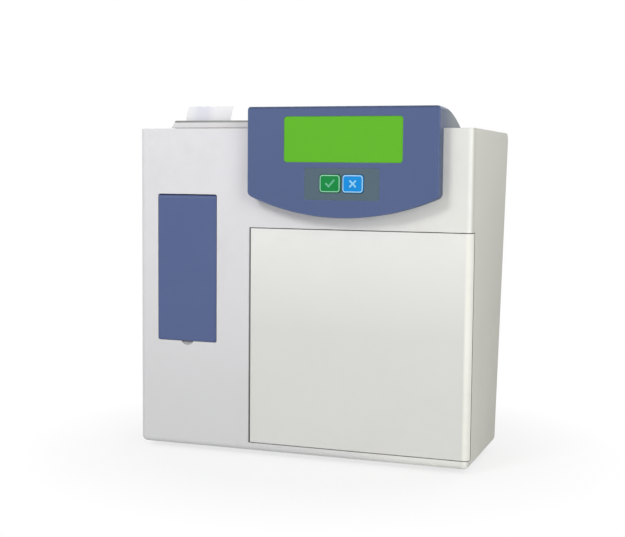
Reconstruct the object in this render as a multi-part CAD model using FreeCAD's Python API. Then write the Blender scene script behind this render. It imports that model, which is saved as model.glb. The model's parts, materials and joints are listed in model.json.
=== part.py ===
import FreeCAD, Part
import math
import os

# Bench-top electrolyte analyzer, in millimetres.
# x runs to the right, y to the rear and z up. The origin is under the middle of the case,
# on the surface that the feet stand on.

V = FreeCAD.Vector

# Case
case_width = 350.0
case_height = 327.0
case_depth_top = 176.0
case_depth_bottom = 133.0
foot_height = 5.0
wall = 3.0
edge_radius = 6.0
rear_top_radius = 9.0
rear_bottom_radius = 8.0
tub_wall = 2.0
plate = 1.5
fit_gap = 0.3
swing_gap = 0.6
# small pins and holes are regular prisms with few sides, round parts have more, and what
# rolls or shows most is truly round
small_sides = 12
round_sides = 20
disc_sides = 30

# Console over the top edge
console_gap = 4.0
console_margin = 30.0
console_proud = 15.0
console_rise = 20.5
console_drop = 87.0
console_arc_radius = 234.0
console_wall = 2.5
console_corner = 6.0
console_top_corner = 3.0
console_bevel = 0.8
hump_radius = 215.0
hump_start = 3.0

# Display and keys
window_width = 120.0
window_height = 44.5
window_shift = 1.4
window_below_top = 31.7
window_corner = 3.0
lens_thickness = 1.8
overlay_width = 75.8
overlay_height = 31.0
overlay_shift = 0.9
overlay_below_top = 74.7
overlay_thickness = 0.8
key_width = 21.2
key_height = 17.4
key_spacing = 23.2
key_corner = 3.0
key_proud = 1.2
key_travel = 1.0
key_flange = 1.2
key_border = 0.9
key_bevel = 0.6

# Door
door_left = -53.0
door_sill = 8.4
door_height = 219.8
door_left_gap = 1.6
door_gap = 0.8
door_flange = 8.0
rib_thickness = 1.6
hinge_wrap = 20.0
pin_radius = 1.5
pin_play = 0.1
ear_thickness = 4.0

# Fluid bay
bay_back_depth = 86.0
flow_depth = 64.0
electrode_pitch = 15.8
electrode_width = 15.5
electrode_depth = 30.0
electrode_height = 38.0
electrode_count = 5
carrier_left = -34.0
carrier_shelf_z = 150.0
carrier_plate = 5.0
carrier_back = 4.0
carrier_height = 60.0
carrier_end_height = 44.0
clamp_thickness = 5.0
clamp_travel = 4.0
cam_radius = 9.0
cam_lead = 60.0
pump_x = -6.0
pump_z = 88.0
pump_roller_radius = 5.0
pump_pitch_radius = 15.0
pump_roller_count = 3
roller_pin_radius = 1.2
pump_disc_radius = 17.5
pump_disc = 3.0
tube_radius = 1.5
track_wall = 5.5

# Sampler
flap_width = 65.0
flap_height = 150.4
flap_from_side = 53.7
flap_below_top = 67.0
flap_gap = 0.5
flap_skin = 2.5
flap_nose = 4.0
notch_width = 14.3
notch_depth = 4.6
sampler_depth = 58.0
shaft_radius = 2.0
probe_drop = 88.0
needle_radius = 0.75

# Printer
collar_from_side = 30.0
collar_setback = 10.0
collar_depth = 93.5
collar_height = 6.5
collar_shadow = 1.2
bezel_thickness = 2.0
well_depth = 62.0
paper_width = 50.0
paper_from_collar = 38.0
paper_radius = 22.0
paper_thickness = 0.3
paper_rise = 24.0
platen_radius = 5.5
platen_shaft_radius = 1.5
lid_gap = 0.5
lid_width = 76.0
lid_left_room = 6.5
lid_right_room = 9.5
lid_thickness = 2.2
lid_nose = 6.5
lid_pin_radius = 1.25

# Values that follow from those above
half_width = case_width / 2
flap_centre_x = -half_width + flap_from_side
collar_left = -half_width + collar_from_side
collar_right = collar_left + lid_left_room + lid_width + lid_right_room
paper_centre_x = collar_left + paper_from_collar
console_left = collar_right + console_gap
console_right = half_width - console_margin
console_width = console_right - console_left
console_centre_x = (console_left + console_right) / 2
window_centre_x = console_centre_x + window_shift
overlay_centre_x = console_centre_x + overlay_shift
case_bottom = foot_height
case_top = case_bottom + case_height
rear_lean = math.atan((case_depth_top - case_depth_bottom) / case_height)
rear_corner_loss = rear_top_radius * (math.tan(rear_lean) + 1 / math.cos(rear_lean) - 1)
overall_depth = key_proud + console_proud + case_depth_top - rear_corner_loss
front_y = console_proud + key_proud - overall_depth / 2
rear_top_y = front_y + case_depth_top
rear_bottom_y = front_y + case_depth_bottom
rear_length = case_height / math.cos(rear_lean)
inner_front_y = front_y + wall
console_y = front_y - console_proud
console_top = case_top + console_rise


def box(x0, x1, y0, y1, z0, z1):
    return Part.makeBox(x1 - x0, y1 - y0, z1 - z0, V(x0, y0, z0))


def face_of(points):
    return Part.Face(Part.makePolygon(points + points[:1]))


def ring_of(radius, sides, z):
    turns = [2 * math.pi * index / sides for index in range(sides)]
    return [V(radius * math.cos(turn), radius * math.sin(turn), z) for turn in turns]


def rod(x, y, z, direction, radius, length, sides=0):
    # true round, or a regular prism if a number of sides is given
    if sides == 0:
        return Part.makeCylinder(radius, length, V(x, y, z), V(*direction))
    bar = face_of(ring_of(radius, sides, 0)).extrude(V(0, 0, length))
    bar.Placement = FreeCAD.Placement(V(x, y, z), FreeCAD.Rotation(V(0, 0, 1), V(*direction)))
    return bar


def skin(rings):
    # solid between flat rings of equally many points
    count = len(rings[0])
    faces = [face_of(rings[0]), face_of(rings[-1])]
    for lower, upper in zip(rings, rings[1:]):
        for index in range(count):
            after = (index + 1) % count
            faces.append(face_of([lower[index], lower[after], upper[after], upper[index]]))
    return Part.Solid(Part.Shell(faces))


def rod_x(y, z, radius, x0, x1, sides=0):
    return rod(x0, y, z, (1, 0, 0), radius, x1 - x0, sides)


def rod_y(x, z, radius, y0, y1, sides=0):
    return rod(x, y0, z, (0, 1, 0), radius, y1 - y0, sides)


def rod_z(x, y, radius, z0, z1, sides=0):
    return rod(x, y, z0, (0, 0, 1), radius, z1 - z0, sides)


def around(radius):
    # corner radius of a small_sides prism whose flats clear that radius
    return radius / math.cos(math.pi / small_sides)


def prism_x(outline, x0, x1):
    # outline holds (y, z) pairs
    return face_of([V(x0, y, z) for y, z in outline]).extrude(V(x1 - x0, 0, 0))


def prism_y(outline, y0, y1):
    # outline holds (x, z) pairs
    return face_of([V(x, y0, z) for x, z in outline]).extrude(V(0, y1 - y0, 0))


def near(a, b):
    return abs(a - b) < 0.01


def runs_along(edge, axis):
    start = edge.Vertexes[0].Point
    end = edge.Vertexes[-1].Point
    span = end.sub(start)
    return span.Length > 0.01 and abs(span.dot(V(*axis))) > 0.9999 * span.Length


def round_edges(shape, radius, test):
    chosen = [edge for edge in shape.Edges if test(edge)]
    return shape.makeFillet(radius, chosen)


def bevel_edges(shape, width, test):
    chosen = [edge for edge in shape.Edges if test(edge)]
    return shape.makeChamfer(width, chosen)


def rounded_box(x0, x1, y0, y1, z0, z1, axis, radius):
    # box with the four edges along one axis rounded
    return round_edges(box(x0, x1, y0, y1, z0, z1), radius, lambda edge: runs_along(edge, axis))


def sector(inner, outer, start, sweep, length):
    # part of a ring about the z axis, angles in degrees from x
    ring = Part.makeCylinder(outer, length, V(0, 0, 0), V(0, 0, 1), sweep)
    if inner > 0:
        ring = ring.cut(Part.makeCylinder(inner, length, V(0, 0, 0), V(0, 0, 1), 360))
    ring.rotate(V(0, 0, 0), V(0, 0, 1), start)
    return ring


def sector_z(x, y, inner, outer, start, sweep, z0, z1):
    ring = sector(inner, outer, start, sweep, z1 - z0)
    ring.translate(V(x, y, z0))
    return ring


def sector_x(y, z, inner, outer, start, sweep, x0, x1):
    # angles run from +y towards +z
    ring = sector(inner, outer, start, sweep, x1 - x0)
    ring.rotate(V(0, 0, 0), V(1, 1, 1), 120)
    ring.translate(V(x0, y, z))
    return ring


def sector_y(x, z, inner, outer, start, sweep, y0, y1):
    # angles run from +x towards +z, seen from the front
    ring = sector(inner, outer, start, sweep, y1 - y0)
    ring.rotate(V(0, 0, 0), V(1, 0, 0), 90)
    ring.translate(V(x, y1, z))
    return ring


def join(shapes):
    return shapes[0].fuse(shapes[1:]).removeSplitter()


def bend_points(before, corner, after, radius, steps):
    # points along the arc that rounds a corner of a route
    into = before.sub(corner).normalize()
    away = after.sub(corner).normalize()
    turn = math.pi - into.getAngle(away)
    setback = radius * math.tan(turn / 2)
    pivot = corner + (into + away).normalize() * (radius / math.cos(turn / 2))
    spoke = corner + into * setback - pivot
    axis = away.cross(into)
    places = []
    for index in range(steps + 1):
        swing = FreeCAD.Rotation(axis, math.degrees(turn) * index / steps)
        places.append(pivot + swing.multVec(spoke))
    return places


def tube(route, radius):
    # tube in a plane of constant y: straight runs that meet in mitres at the points of the route
    rings = []
    for index, point in enumerate(route):
        into = point - route[index - 1] if index > 0 else route[1] - point
        away = route[index + 1] - point if index < len(route) - 1 else into
        along = V(into).normalize() + V(away).normalize()
        stretch = 2 / along.Length
        across = along.normalize().cross(V(0, 1, 0))
        rings.append([point + across * (place.x * stretch) + V(0, place.y, 0)
                      for place in ring_of(radius, tube_sides, 0)])
    return skin(rings)


# Case

def rear_plane_y(z, inset):
    return rear_bottom_y + (z - case_bottom) * math.tan(rear_lean) - inset / math.cos(rear_lean)


def on_rear(shape):
    # moves a shape drawn against an upright rear plane (x across, y outwards, z up)
    # on to the leaning one
    shape.rotate(V(0, 0, 0), V(1, 0, 0), -math.degrees(rear_lean))
    shape.translate(V(0, rear_bottom_y, case_bottom))
    return shape


def case_block(inset):
    # rounded at the front corners and the bottom, trimmed by the leaning side outline;
    # an inner face has a plain bevel where the outer one is rounded
    soften = round_edges if inset == 0 else bevel_edges
    share = 1.0 if inset == 0 else 2 - math.sqrt(2)
    left = inset - half_width
    right = half_width - inset
    front = front_y + inset
    bottom = case_bottom + inset
    top = case_top - inset
    blank = box(left, right, front, rear_top_y + edge_radius, bottom, top)

    def rounded(edge):
        middle = edge.CenterOfMass
        if runs_along(edge, (0, 0, 1)):
            return near(middle.y, front)
        if runs_along(edge, (0, 1, 0)):
            return near(middle.z, bottom)
        return near(middle.z, bottom) and near(middle.y, front)

    blank = soften(blank, (edge_radius - inset) * share, rounded)
    outline = [
        (front - edge_radius, bottom),
        (front - edge_radius, top),
        (rear_plane_y(top, inset), top),
        (rear_plane_y(bottom, inset), bottom),
    ]
    side = prism_x(outline, left - wall, right + wall)
    across = (1, 0, 0)
    side = soften(side, (rear_top_radius - inset) * share, lambda edge: runs_along(edge, across)
                  and near(edge.CenterOfMass.z, top) and edge.CenterOfMass.y > 0)
    side = soften(side, (rear_bottom_radius - inset) * share, lambda edge: runs_along(edge, across)
                  and near(edge.CenterOfMass.z, bottom) and edge.CenterOfMass.y > 0)
    return blank.common(side)


# Rear panel and base, seen by the cover that they close
panel_side = half_width - 8.0
panel_low = 12.0
panel_high = rear_length - 22.0
panel_sink = 0.3
lip = 8.0
sill_depth = 20.0
side_lip = 12.0

# Door opening and hinge
hinge_x = half_width - edge_radius
hinge_y = front_y + edge_radius
door_low = case_bottom + door_sill
door_high = door_low + door_height
hinge_clear = edge_radius + swing_gap

# Flap opening and hinge
flap_left = flap_centre_x - flap_width / 2
flap_right = flap_centre_x + flap_width / 2
flap_high = case_top - flap_below_top
flap_low = flap_high - flap_height
flap_axis_y = front_y + flap_nose
flap_axis_z = flap_high - flap_nose
flap_ear = 3.8
flap_pin_radius = 0.9
sampler_left = flap_left - flap_gap - 2.0
sampler_right = flap_right + flap_gap + 2.0

# Printer place on the top
collar_front = front_y + collar_setback
collar_rear = collar_front + collar_depth
collar_top = case_top + collar_height
bezel_top = collar_top + bezel_thickness
bar_width = 8.0
frame_width = 4.0
lid_axis_y = collar_rear - frame_width - lid_gap - lid_nose
lid_axis_z = bezel_top - lid_nose
lid_centre_x = collar_left + lid_left_room + lid_width / 2
paper_left = paper_centre_x - paper_width / 2
paper_right = paper_centre_x + paper_width / 2
paper_y = collar_front + bar_width + 2.0
lid_front = paper_y + 1.0
well_side = 3.5
well_left = collar_left + well_side
well_right = collar_right - well_side
well_front = collar_front + 4.0
well_rear = collar_rear - 2.0

# Screws of the rear panel, as (x, height along the panel)
screw_head_radius = 2.8
screw_radius = 1.4
screw_hole_radius = 1.7
screw_inset = 6.0
screw_columns = (-panel_side + screw_inset, panel_side - screw_inset)
screw_rows = (panel_low + screw_inset, panel_high - screw_inset)
screw_places = [(x, z) for x in screw_columns for z in screw_rows]

# Connectors of the rear panel
inlet_x = -half_width + 57.0
inlet_z = 44.0
inlet_width = 27.6
inlet_height = 20.4
switch_x = inlet_x + 46.0
switch_width = 13.0
switch_height = 19.0
serial_x = switch_x + 52.0
serial_width = 25.0
serial_height = 10.4
socket_depth = 18.0
blade_recess = 7.0
vent_slots = 10
vent_pitch = 9.0
vent_slot = 3.5
vent_length = 56.0
vent_z = 150.0


def opening_for_console():
    reach = console_width / 2 - 14.0
    left = console_centre_x - reach
    right = console_centre_x + reach
    front = box(left, right, front_y - 1, inner_front_y + 1, case_top - 60, case_top + 1)
    top = box(left, right, front_y - 1, front_y + 60, case_top - wall - 1, case_top + 1)
    return front.fuse(top)


def opening_for_door():
    flat = box(door_left, hinge_x, front_y - 1, inner_front_y + 1, door_low, door_high)
    corner = box(hinge_x, half_width + 1, front_y - 1, hinge_y, door_low, door_high)
    swing = rod_z(hinge_x, hinge_y, hinge_clear, door_low, door_high)
    return flat.fuse([corner, swing])


def opening_for_flap():
    hole = rounded_box(flap_left - flap_gap, flap_right + flap_gap, front_y - 1, inner_front_y + 1,
                       flap_low - flap_gap, flap_high + flap_gap, (0, 1, 0), 2.0)
    half = notch_width / 2
    drop = notch_depth
    radius = (half * half + drop * drop) / (2 * drop)
    notch = rod_y(flap_centre_x, flap_low - drop + radius, radius, front_y - 1, inner_front_y + 1)
    below = box(flap_centre_x - half, flap_centre_x + half, front_y - 1, inner_front_y + 1,
                flap_low - drop - 1, flap_low)
    return hole.fuse(notch.common(below))


def make_main_cover():
    shell = case_block(0).cut(case_block(wall))
    bottom = box(side_lip - half_width, half_width - side_lip, front_y + sill_depth,
                 rear_bottom_y - side_lip - lip, case_bottom - 1, case_bottom + wall + 1)
    rebate = on_rear(box(-panel_side - fit_gap, panel_side + fit_gap, -plate - panel_sink, lip,
                         panel_low - fit_gap, panel_high + fit_gap))
    window = on_rear(box(lip - panel_side, panel_side - lip, -lip, lip,
                         panel_low + lip, panel_high - lip))
    printer = box(well_left, well_right, well_front, well_rear, case_top - wall - 1, case_top + 1)
    shell = shell.cut([bottom, rebate, window, printer])
    shell = shell.cut([opening_for_console(), opening_for_door(), opening_for_flap()])
    # bosses that hold the two hinge pins of the door
    boss_side = hinge_x - edge_radius
    inner_side = half_width - wall
    upper = box(boss_side, inner_side, inner_front_y, hinge_y + edge_radius, door_high, door_high + 10)
    lower = box(boss_side, inner_side, inner_front_y, hinge_y + edge_radius,
                case_bottom + wall, door_low)
    block = case_block(wall)
    shell = join([shell, upper.common(block), lower.common(block)])
    pin_holes = [rod_z(hinge_x, hinge_y, pin_radius, door_high - 1, door_high + 8, small_sides),
                 rod_z(hinge_x, hinge_y, pin_radius, case_bottom + wall + 1, door_low + 1, small_sides)]
    screw_holes = [on_rear(rod_y(x, z, screw_radius, -wall - 1, 0, small_sides)) for x, z in screw_places]
    return shell.cut(pin_holes + screw_holes)


base_thickness = 1.5
base_side = half_width - wall - edge_radius
base_front = front_y + 16.0
base_rear = rear_bottom_y - 14.0
base_top = case_bottom + wall + base_thickness
foot_top_radius = 11.0
foot_base_radius = 9.0
foot_recess = 4.5
foot_x = half_width - 37.0
foot_front_y = front_y + sill_depth + 14.0
foot_rear_y = base_rear - 18.0
base_slots = 8
base_slot_pitch = 16.0
base_slot_width = 4.0


def make_base_plate():
    sheet = box(-base_side, base_side, base_front, base_rear, base_top - base_thickness, base_top)
    slots = []
    for index in range(base_slots):
        x = (index - (base_slots - 1) / 2) * base_slot_pitch - base_slot_width / 2
        slots.append(box(x, x + base_slot_width, foot_front_y, foot_rear_y - 10,
                         base_top - base_thickness - 1, base_top + 1))
    return sheet.cut(slots)


def make_foot(x, y):
    # tapered foot with a moulded recess for its screw
    body = skin([ring_of(foot_base_radius, round_sides, 0),
                 ring_of(foot_top_radius, round_sides, case_bottom + wall)])
    body.translate(V(x, y, 0))
    recess = rod_z(x, y, foot_recess, -1, 3.5, small_sides)
    return body.cut(recess)


def make_rear_panel():
    sheet = box(-panel_side, panel_side, -plate - panel_sink, -panel_sink, panel_low, panel_high)
    deep = -plate - panel_sink - 1
    cuts = []
    for index in range(vent_slots):
        z = vent_z + index * vent_pitch
        cuts.append(box(-vent_length / 2 - 70, vent_length / 2 - 70, deep, 1, z, z + vent_slot))
        cuts.append(box(70 - vent_length / 2, 70 + vent_length / 2, deep, 1, z, z + vent_slot))
    for x, width, height in ((inlet_x, inlet_width, inlet_height),
                             (switch_x, switch_width, switch_height),
                             (serial_x, serial_width - 6, serial_height)):
        cuts.append(box(x - width / 2, x + width / 2, deep, 1,
                        inlet_z - height / 2, inlet_z + height / 2))
    cuts += [rod_y(x, z, screw_hole_radius, deep, 1, small_sides) for x, z in screw_places]
    return on_rear(sheet.cut(cuts))


def make_case_screws():
    # pan heads on the panel, shanks through it into the cover
    screws = []
    for x, z in screw_places:
        head = rod_y(x, z, screw_head_radius, -panel_sink, 1.3, small_sides)
        shank = rod_y(x, z, screw_radius, -wall, -panel_sink, small_sides)
        screws.append(on_rear(head.fuse(shank)))
    return Part.Compound(screws)


# Console

def console_outline(inset, y0, y1):
    # plate outline: straight sides and top, lower edge on one large arc
    left = console_left + inset
    right = console_right - inset
    top = console_top - inset
    radius = console_arc_radius - inset
    centre_z = case_top - console_drop + console_arc_radius
    half = (right - left) / 2
    corner_z = centre_z - math.sqrt(radius * radius - half * half)
    low = V(console_centre_x, y0, centre_z - radius)
    corners = [V(left, y0, corner_z), V(left, y0, top), V(right, y0, top), V(right, y0, corner_z)]
    edges = [Part.LineSegment(a, b).toShape() for a, b in zip(corners, corners[1:])]
    edges.append(Part.Arc(corners[3], low, corners[0]).toShape())
    body = Part.Face(Part.Wire(edges)).extrude(V(0, y1 - y0, 0))
    depth = (0, 1, 0)
    if inset > 0:
        return bevel_edges(body, console_wall, lambda edge: runs_along(edge, depth))
    body = round_edges(body, console_corner, lambda edge: runs_along(edge, depth)
                       and edge.CenterOfMass.z < case_top)
    return round_edges(body, console_top_corner, lambda edge: runs_along(edge, depth)
                       and edge.CenterOfMass.z > case_top)


def console_profile(inset, x0, x1, behind, below):
    # side outline: flat front, humped back that runs down to the case top
    front = console_y + inset
    start = console_y + hump_start
    radius = hump_radius - inset
    centre_z = console_top - hump_radius
    foot_z = case_top - below
    foot_y = start + math.sqrt(radius * radius - (foot_z - centre_z) ** 2)
    half = (foot_y - start) / 2
    middle_z = centre_z + math.sqrt(radius * radius - half * half)
    top = console_top - inset
    low = case_top - console_drop - 10
    points = [V(x0, foot_y, foot_z), V(x0, front_y + behind, foot_z), V(x0, front_y + behind, low),
              V(x0, front, low), V(x0, front, top), V(x0, start, top)]
    edges = [Part.LineSegment(a, b).toShape() for a, b in zip(points, points[1:])]
    edges.append(Part.Arc(points[-1], V(x0, start + half, middle_z), points[0]).toShape())
    return Part.Face(Part.Wire(edges)).extrude(V(x1 - x0, 0, 0))


window_z = console_top - window_below_top
overlay_z = console_top - overlay_below_top
overlay_left = overlay_centre_x - overlay_width / 2
overlay_right = overlay_centre_x + overlay_width / 2
key_places = {"yes_key": overlay_centre_x - key_spacing / 2, "no_key": overlay_centre_x + key_spacing / 2}
key_z = overlay_z + 0.5


def window_block(grow, y0, y1, radius):
    return rounded_box(window_centre_x - window_width / 2 - grow, window_centre_x + window_width / 2 + grow,
                       y0, y1, window_z - window_height / 2 - grow, window_z + window_height / 2 + grow,
                       (0, 1, 0), radius)


def key_block(x, grow, y0, y1):
    return box(x - key_width / 2 - grow, x + key_width / 2 + grow, y0, y1,
               key_z - key_height / 2 - grow, key_z + key_height / 2 + grow)


def key_openings(y0, y1):
    # holes round the keys, with bevels where the keys have round corners
    corner = key_corner * (2 - math.sqrt(2))
    return [bevel_edges(key_block(x, fit_gap, y0, y1), corner, lambda edge: runs_along(edge, (0, 1, 0)))
            for x in key_places.values()]


def make_console_shell():
    far = front_y + case_depth_top
    outer = console_outline(0, console_y, far).common(
        console_profile(0, console_left - 1, console_right + 1, 0, 0))
    outer = bevel_edges(outer, console_bevel, lambda edge: near(edge.BoundBox.YMin, console_y)
                        and near(edge.BoundBox.YMax, console_y))
    inner = console_outline(console_wall, console_y, far).common(
        console_profile(console_wall, console_left - 1, console_right + 1, 1, 1))
    shell = outer.cut(inner)
    back = console_y + console_wall + 1
    cuts = [window_block(0, console_y - 1, back, window_corner)]
    cuts.append(rounded_box(overlay_left, overlay_right, console_y - 1, console_y + overlay_thickness,
                            overlay_z - overlay_height / 2, overlay_z + overlay_height / 2,
                            (0, 1, 0), 2.0))
    return shell.cut(cuts + key_openings(console_y - 1, back))


def make_display_window():
    # stepped lens, its thick middle fills the opening and its border lies behind the wall
    seat = console_y + console_wall
    front = window_block(-0.1, console_y + 0.4, seat, window_corner)
    half = window_width / 2 + 2.5
    rise = window_height / 2 + 2.5
    border = box(window_centre_x - half, window_centre_x + half, seat, seat + lens_thickness,
                 window_z - rise, window_z + rise)
    return front.fuse(border)


display_y = console_y + console_wall + lens_thickness + 0.3


def make_display_module():
    # glass in its frame on a board, which two rails hold off the case
    half = window_width / 2 + 3.0
    rise = window_height / 2 + 3.0
    frame = box(window_centre_x - half, window_centre_x + half, display_y, display_y + 2.8,
                window_z - rise, window_z + rise)
    side = window_width / 2 + 9.0
    board = box(window_centre_x - side, window_centre_x + side, display_y + 2.8, display_y + 4.4,
                window_z - window_height / 2 - 4.0, window_z + window_height / 2 + 5.0)
    rails = []
    for edge in (-1, 1):
        x = console_centre_x + edge * (console_width / 2 - console_wall - 8.0)
        rails.append(box(x - 4, x + 4, display_y + 4.4, front_y, window_z - 20, window_z + 8))
    bridge = box(console_left + 8, console_right - 8,
                 display_y + 2.8, display_y + 4.4, window_z - 6, window_z + 6)
    return join([frame, board, bridge] + rails)


def make_keypad_overlay():
    skin = rounded_box(overlay_left + 0.1, overlay_right - 0.1, console_y, console_y + overlay_thickness,
                       overlay_z - overlay_height / 2 + 0.1, overlay_z + overlay_height / 2 - 0.1,
                       (0, 1, 0), 2.0)
    return skin.cut(key_openings(console_y - 1, console_y + 2))


def make_key(x):
    # cap with softened edge and a flange that stays behind the console wall
    seat = console_y + console_wall + fit_gap
    front = console_y - key_proud
    cap = round_edges(key_block(x, 0, front, seat), key_corner, lambda edge: runs_along(edge, (0, 1, 0)))
    cap = bevel_edges(cap, key_bevel, lambda edge: near(edge.BoundBox.YMax, front))
    flange = box(x - key_width / 2 - key_border, x + key_width / 2 + key_border, seat, seat + key_flange,
                 key_z - key_height / 2 - key_border, key_z + key_height / 2 + key_border)
    return join([cap, flange])


board_y = console_y + console_wall + fit_gap + key_flange + key_travel + 2.2


def make_keypad_board():
    # board on the case front, one push switch behind each key
    board = box(overlay_left, overlay_right, board_y, board_y + 1.6,
                overlay_z - overlay_height / 2, overlay_z + overlay_height / 2)
    pieces = [board]
    for x in key_places.values():
        pieces.append(box(x - 3, x + 3, board_y - 1.2, board_y, key_z - 3, key_z + 3))
        pieces.append(rod_y(x, key_z, 1.7, board_y - 1.9, board_y - 1.2, small_sides))
    for x in (overlay_left + 5, overlay_right - 5):
        pieces.append(rod_y(x, overlay_z - 8, 2.5, board_y + 1.6, front_y, small_sides))
    return join(pieces)


# Door

def make_door_panel():
    left = door_left + door_left_gap
    low = door_low + door_gap
    high = door_high - door_gap
    skin = box(left, hinge_x, front_y, inner_front_y, low, high)
    corner = sector_z(hinge_x, hinge_y, edge_radius - wall, edge_radius, 270, 90 + hinge_wrap, low, high)
    ears = []
    for z in (low, high - ear_thickness):
        ear = rod_z(hinge_x, hinge_y, edge_radius - 0.5, z, z + ear_thickness, round_sides)
        bore = rod_z(hinge_x, hinge_y, around(pin_radius + pin_play), z, z + ear_thickness, small_sides)
        ears.append(ear.cut(bore))
    deep = front_y + door_flange
    rib_right = hinge_x - 11.0
    flanges = [
        box(left, left + rib_thickness, inner_front_y, deep, low, high),
        box(left, rib_right, inner_front_y, deep, low, low + rib_thickness),
        box(left, rib_right, inner_front_y, deep, high - rib_thickness, high),
        box(rib_right - rib_thickness, rib_right, inner_front_y, deep, low, high),
    ]
    for step in (1, 2):
        z = low + step * (high - low) / 3
        flanges.append(box(left, rib_right, inner_front_y, deep - 2, z, z + rib_thickness))
    skin = round_edges(skin, 1.2, lambda edge: runs_along(edge, (0, 0, 1))
                       and near(edge.CenterOfMass.y, front_y) and near(edge.CenterOfMass.x, left))
    return join([skin, corner] + ears + flanges)


def make_front_hinge_pins():
    # two pins of the door and two of the flap
    ear_in = door_gap + ear_thickness
    upper = rod_z(hinge_x, hinge_y, pin_radius, door_high - ear_in + 0.5, door_high + 8, small_sides)
    lower = rod_z(hinge_x, hinge_y, pin_radius, case_bottom + wall + 1, door_low + ear_in - 0.5, small_sides)
    left = rod_x(flap_axis_y, flap_axis_z, flap_pin_radius,
                 sampler_left - tub_wall, flap_left + flap_ear - 0.5, small_sides)
    right = rod_x(flap_axis_y, flap_axis_z, flap_pin_radius,
                  flap_right - flap_ear + 0.5, sampler_right + tub_wall, small_sides)
    return Part.Compound([upper, lower, left, right])


catch_z = door_low + door_height / 2
catch_height = 26.0
catch_reach = 9.0
bay_inner_left = door_left
strike_y = front_y + door_flange + fit_gap


def make_door_catch():
    # magnet in its holder, on the left wall of the bay
    left = bay_inner_left
    front = strike_y + 0.5
    block = box(left, left + catch_reach, front, front + 14, catch_z - catch_height / 2,
                catch_z + catch_height / 2)
    groove = box(left + 2.5, left + catch_reach - 2.5, front - 1, front + 0.8,
                 catch_z - catch_height / 2 + 3, catch_z + catch_height / 2 - 3)
    return block.cut(groove)


def make_door_strike():
    # steel plate on the door, its foot fits between the flange and the skin
    left = door_left + door_left_gap + rib_thickness
    face = box(left, left + 7.0, strike_y - 1.0, strike_y, catch_z - 10, catch_z + 10)
    foot = box(left, left + 2.0, inner_front_y, strike_y - 1.0, catch_z - 10, catch_z + 10)
    return join([face, foot])


# Fluid bay

bay_back_y = front_y + bay_back_depth
bay_wall_x = hinge_x - hinge_clear - fit_gap
flow_y = front_y + flow_depth
flow_z = carrier_shelf_z + 19.0
carrier_back_y = bay_back_y - carrier_back
trough_wall = 1.6


def make_bay_liner():
    left = bay_inner_left
    right = bay_wall_x - tub_wall
    outer = box(left - tub_wall, bay_wall_x, inner_front_y, bay_back_y + tub_wall,
                door_low - tub_wall, door_high + tub_wall)
    inner = box(left, right, inner_front_y - 1, bay_back_y, door_low, door_high)
    tub = outer.cut(inner)
    # the right wall starts behind the round hinge edge of the door
    inner_r = hinge_clear + fit_gap
    clearance = rod_z(hinge_x, hinge_y, inner_r, door_low, door_high)
    forward = box(right - 1, bay_wall_x + 1, inner_front_y - 1, hinge_y, door_low, door_high)
    trough = sector_z(hinge_x, hinge_y, inner_r, inner_r + trough_wall, 60, 125, door_low, door_high)
    trough = trough.common(box(bay_wall_x - tub_wall, half_width - wall, front_y, bay_back_y,
                               door_low, door_high))
    tub = tub.cut([clearance, forward])
    tub = join([tub, trough])
    pump_hole = rod_y(pump_x, pump_z, 4.0, bay_back_y - 1, bay_back_y + tub_wall + 1)
    return tub.cut(pump_hole)


def make_electrode_carrier():
    # back plate, shelf and left end with the tube port, stud for the lever
    right = carrier_left + carrier_plate + electrode_count * electrode_pitch + 34
    back = box(carrier_left, right, carrier_back_y, bay_back_y, carrier_shelf_z,
               carrier_shelf_z + carrier_height)
    front = carrier_back_y - fit_gap - electrode_depth
    shelf = box(carrier_left, right - 22, front, carrier_back_y, carrier_shelf_z,
                carrier_shelf_z + carrier_plate)
    end = box(carrier_left, carrier_left + carrier_plate, front, carrier_back_y,
              carrier_shelf_z, carrier_shelf_z + carrier_end_height)
    end = round_edges(end, 6.0, lambda edge: runs_along(edge, (1, 0, 0))
                      and near(edge.CenterOfMass.y, front) and edge.CenterOfMass.z > flow_z)
    port = rod_x(flow_y, flow_z, 3.2, carrier_left - 5, carrier_left, small_sides)
    stud = rod_y(lever_x, lever_z, stud_radius, lever_front - 1.5, carrier_back_y, small_sides)
    body = join([back, shelf, end, port, stud])
    bore = rod_x(flow_y, flow_z, tube_radius, carrier_left - 6, carrier_left + carrier_plate + 1, tube_sides)
    return body.cut(bore)


electrode_left = carrier_left + carrier_plate + fit_gap
clamp_left = electrode_left + electrode_count * electrode_pitch
electrode_names = ["reference_electrode", "sodium_electrode", "potassium_electrode",
                   "chloride_electrode", "calcium_electrode"]
neck_height = 3.0
cap_height = 8.0
# the cam centre starts left of the stud and ends above it, which frees the full travel
cam_start = math.radians(cam_lead)
cam_throw = clamp_travel / (math.cos(cam_start) + math.sin(cam_start))
cam_reach = cam_radius + cam_throw * math.cos(cam_start)
stud_radius = 3.0
lever_x = clamp_left + clamp_thickness + cam_reach + fit_gap
lever_z = flow_z + 6.0
lever_front = bay_back_y - 32.0
lever_back = lever_front + 10.0


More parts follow.
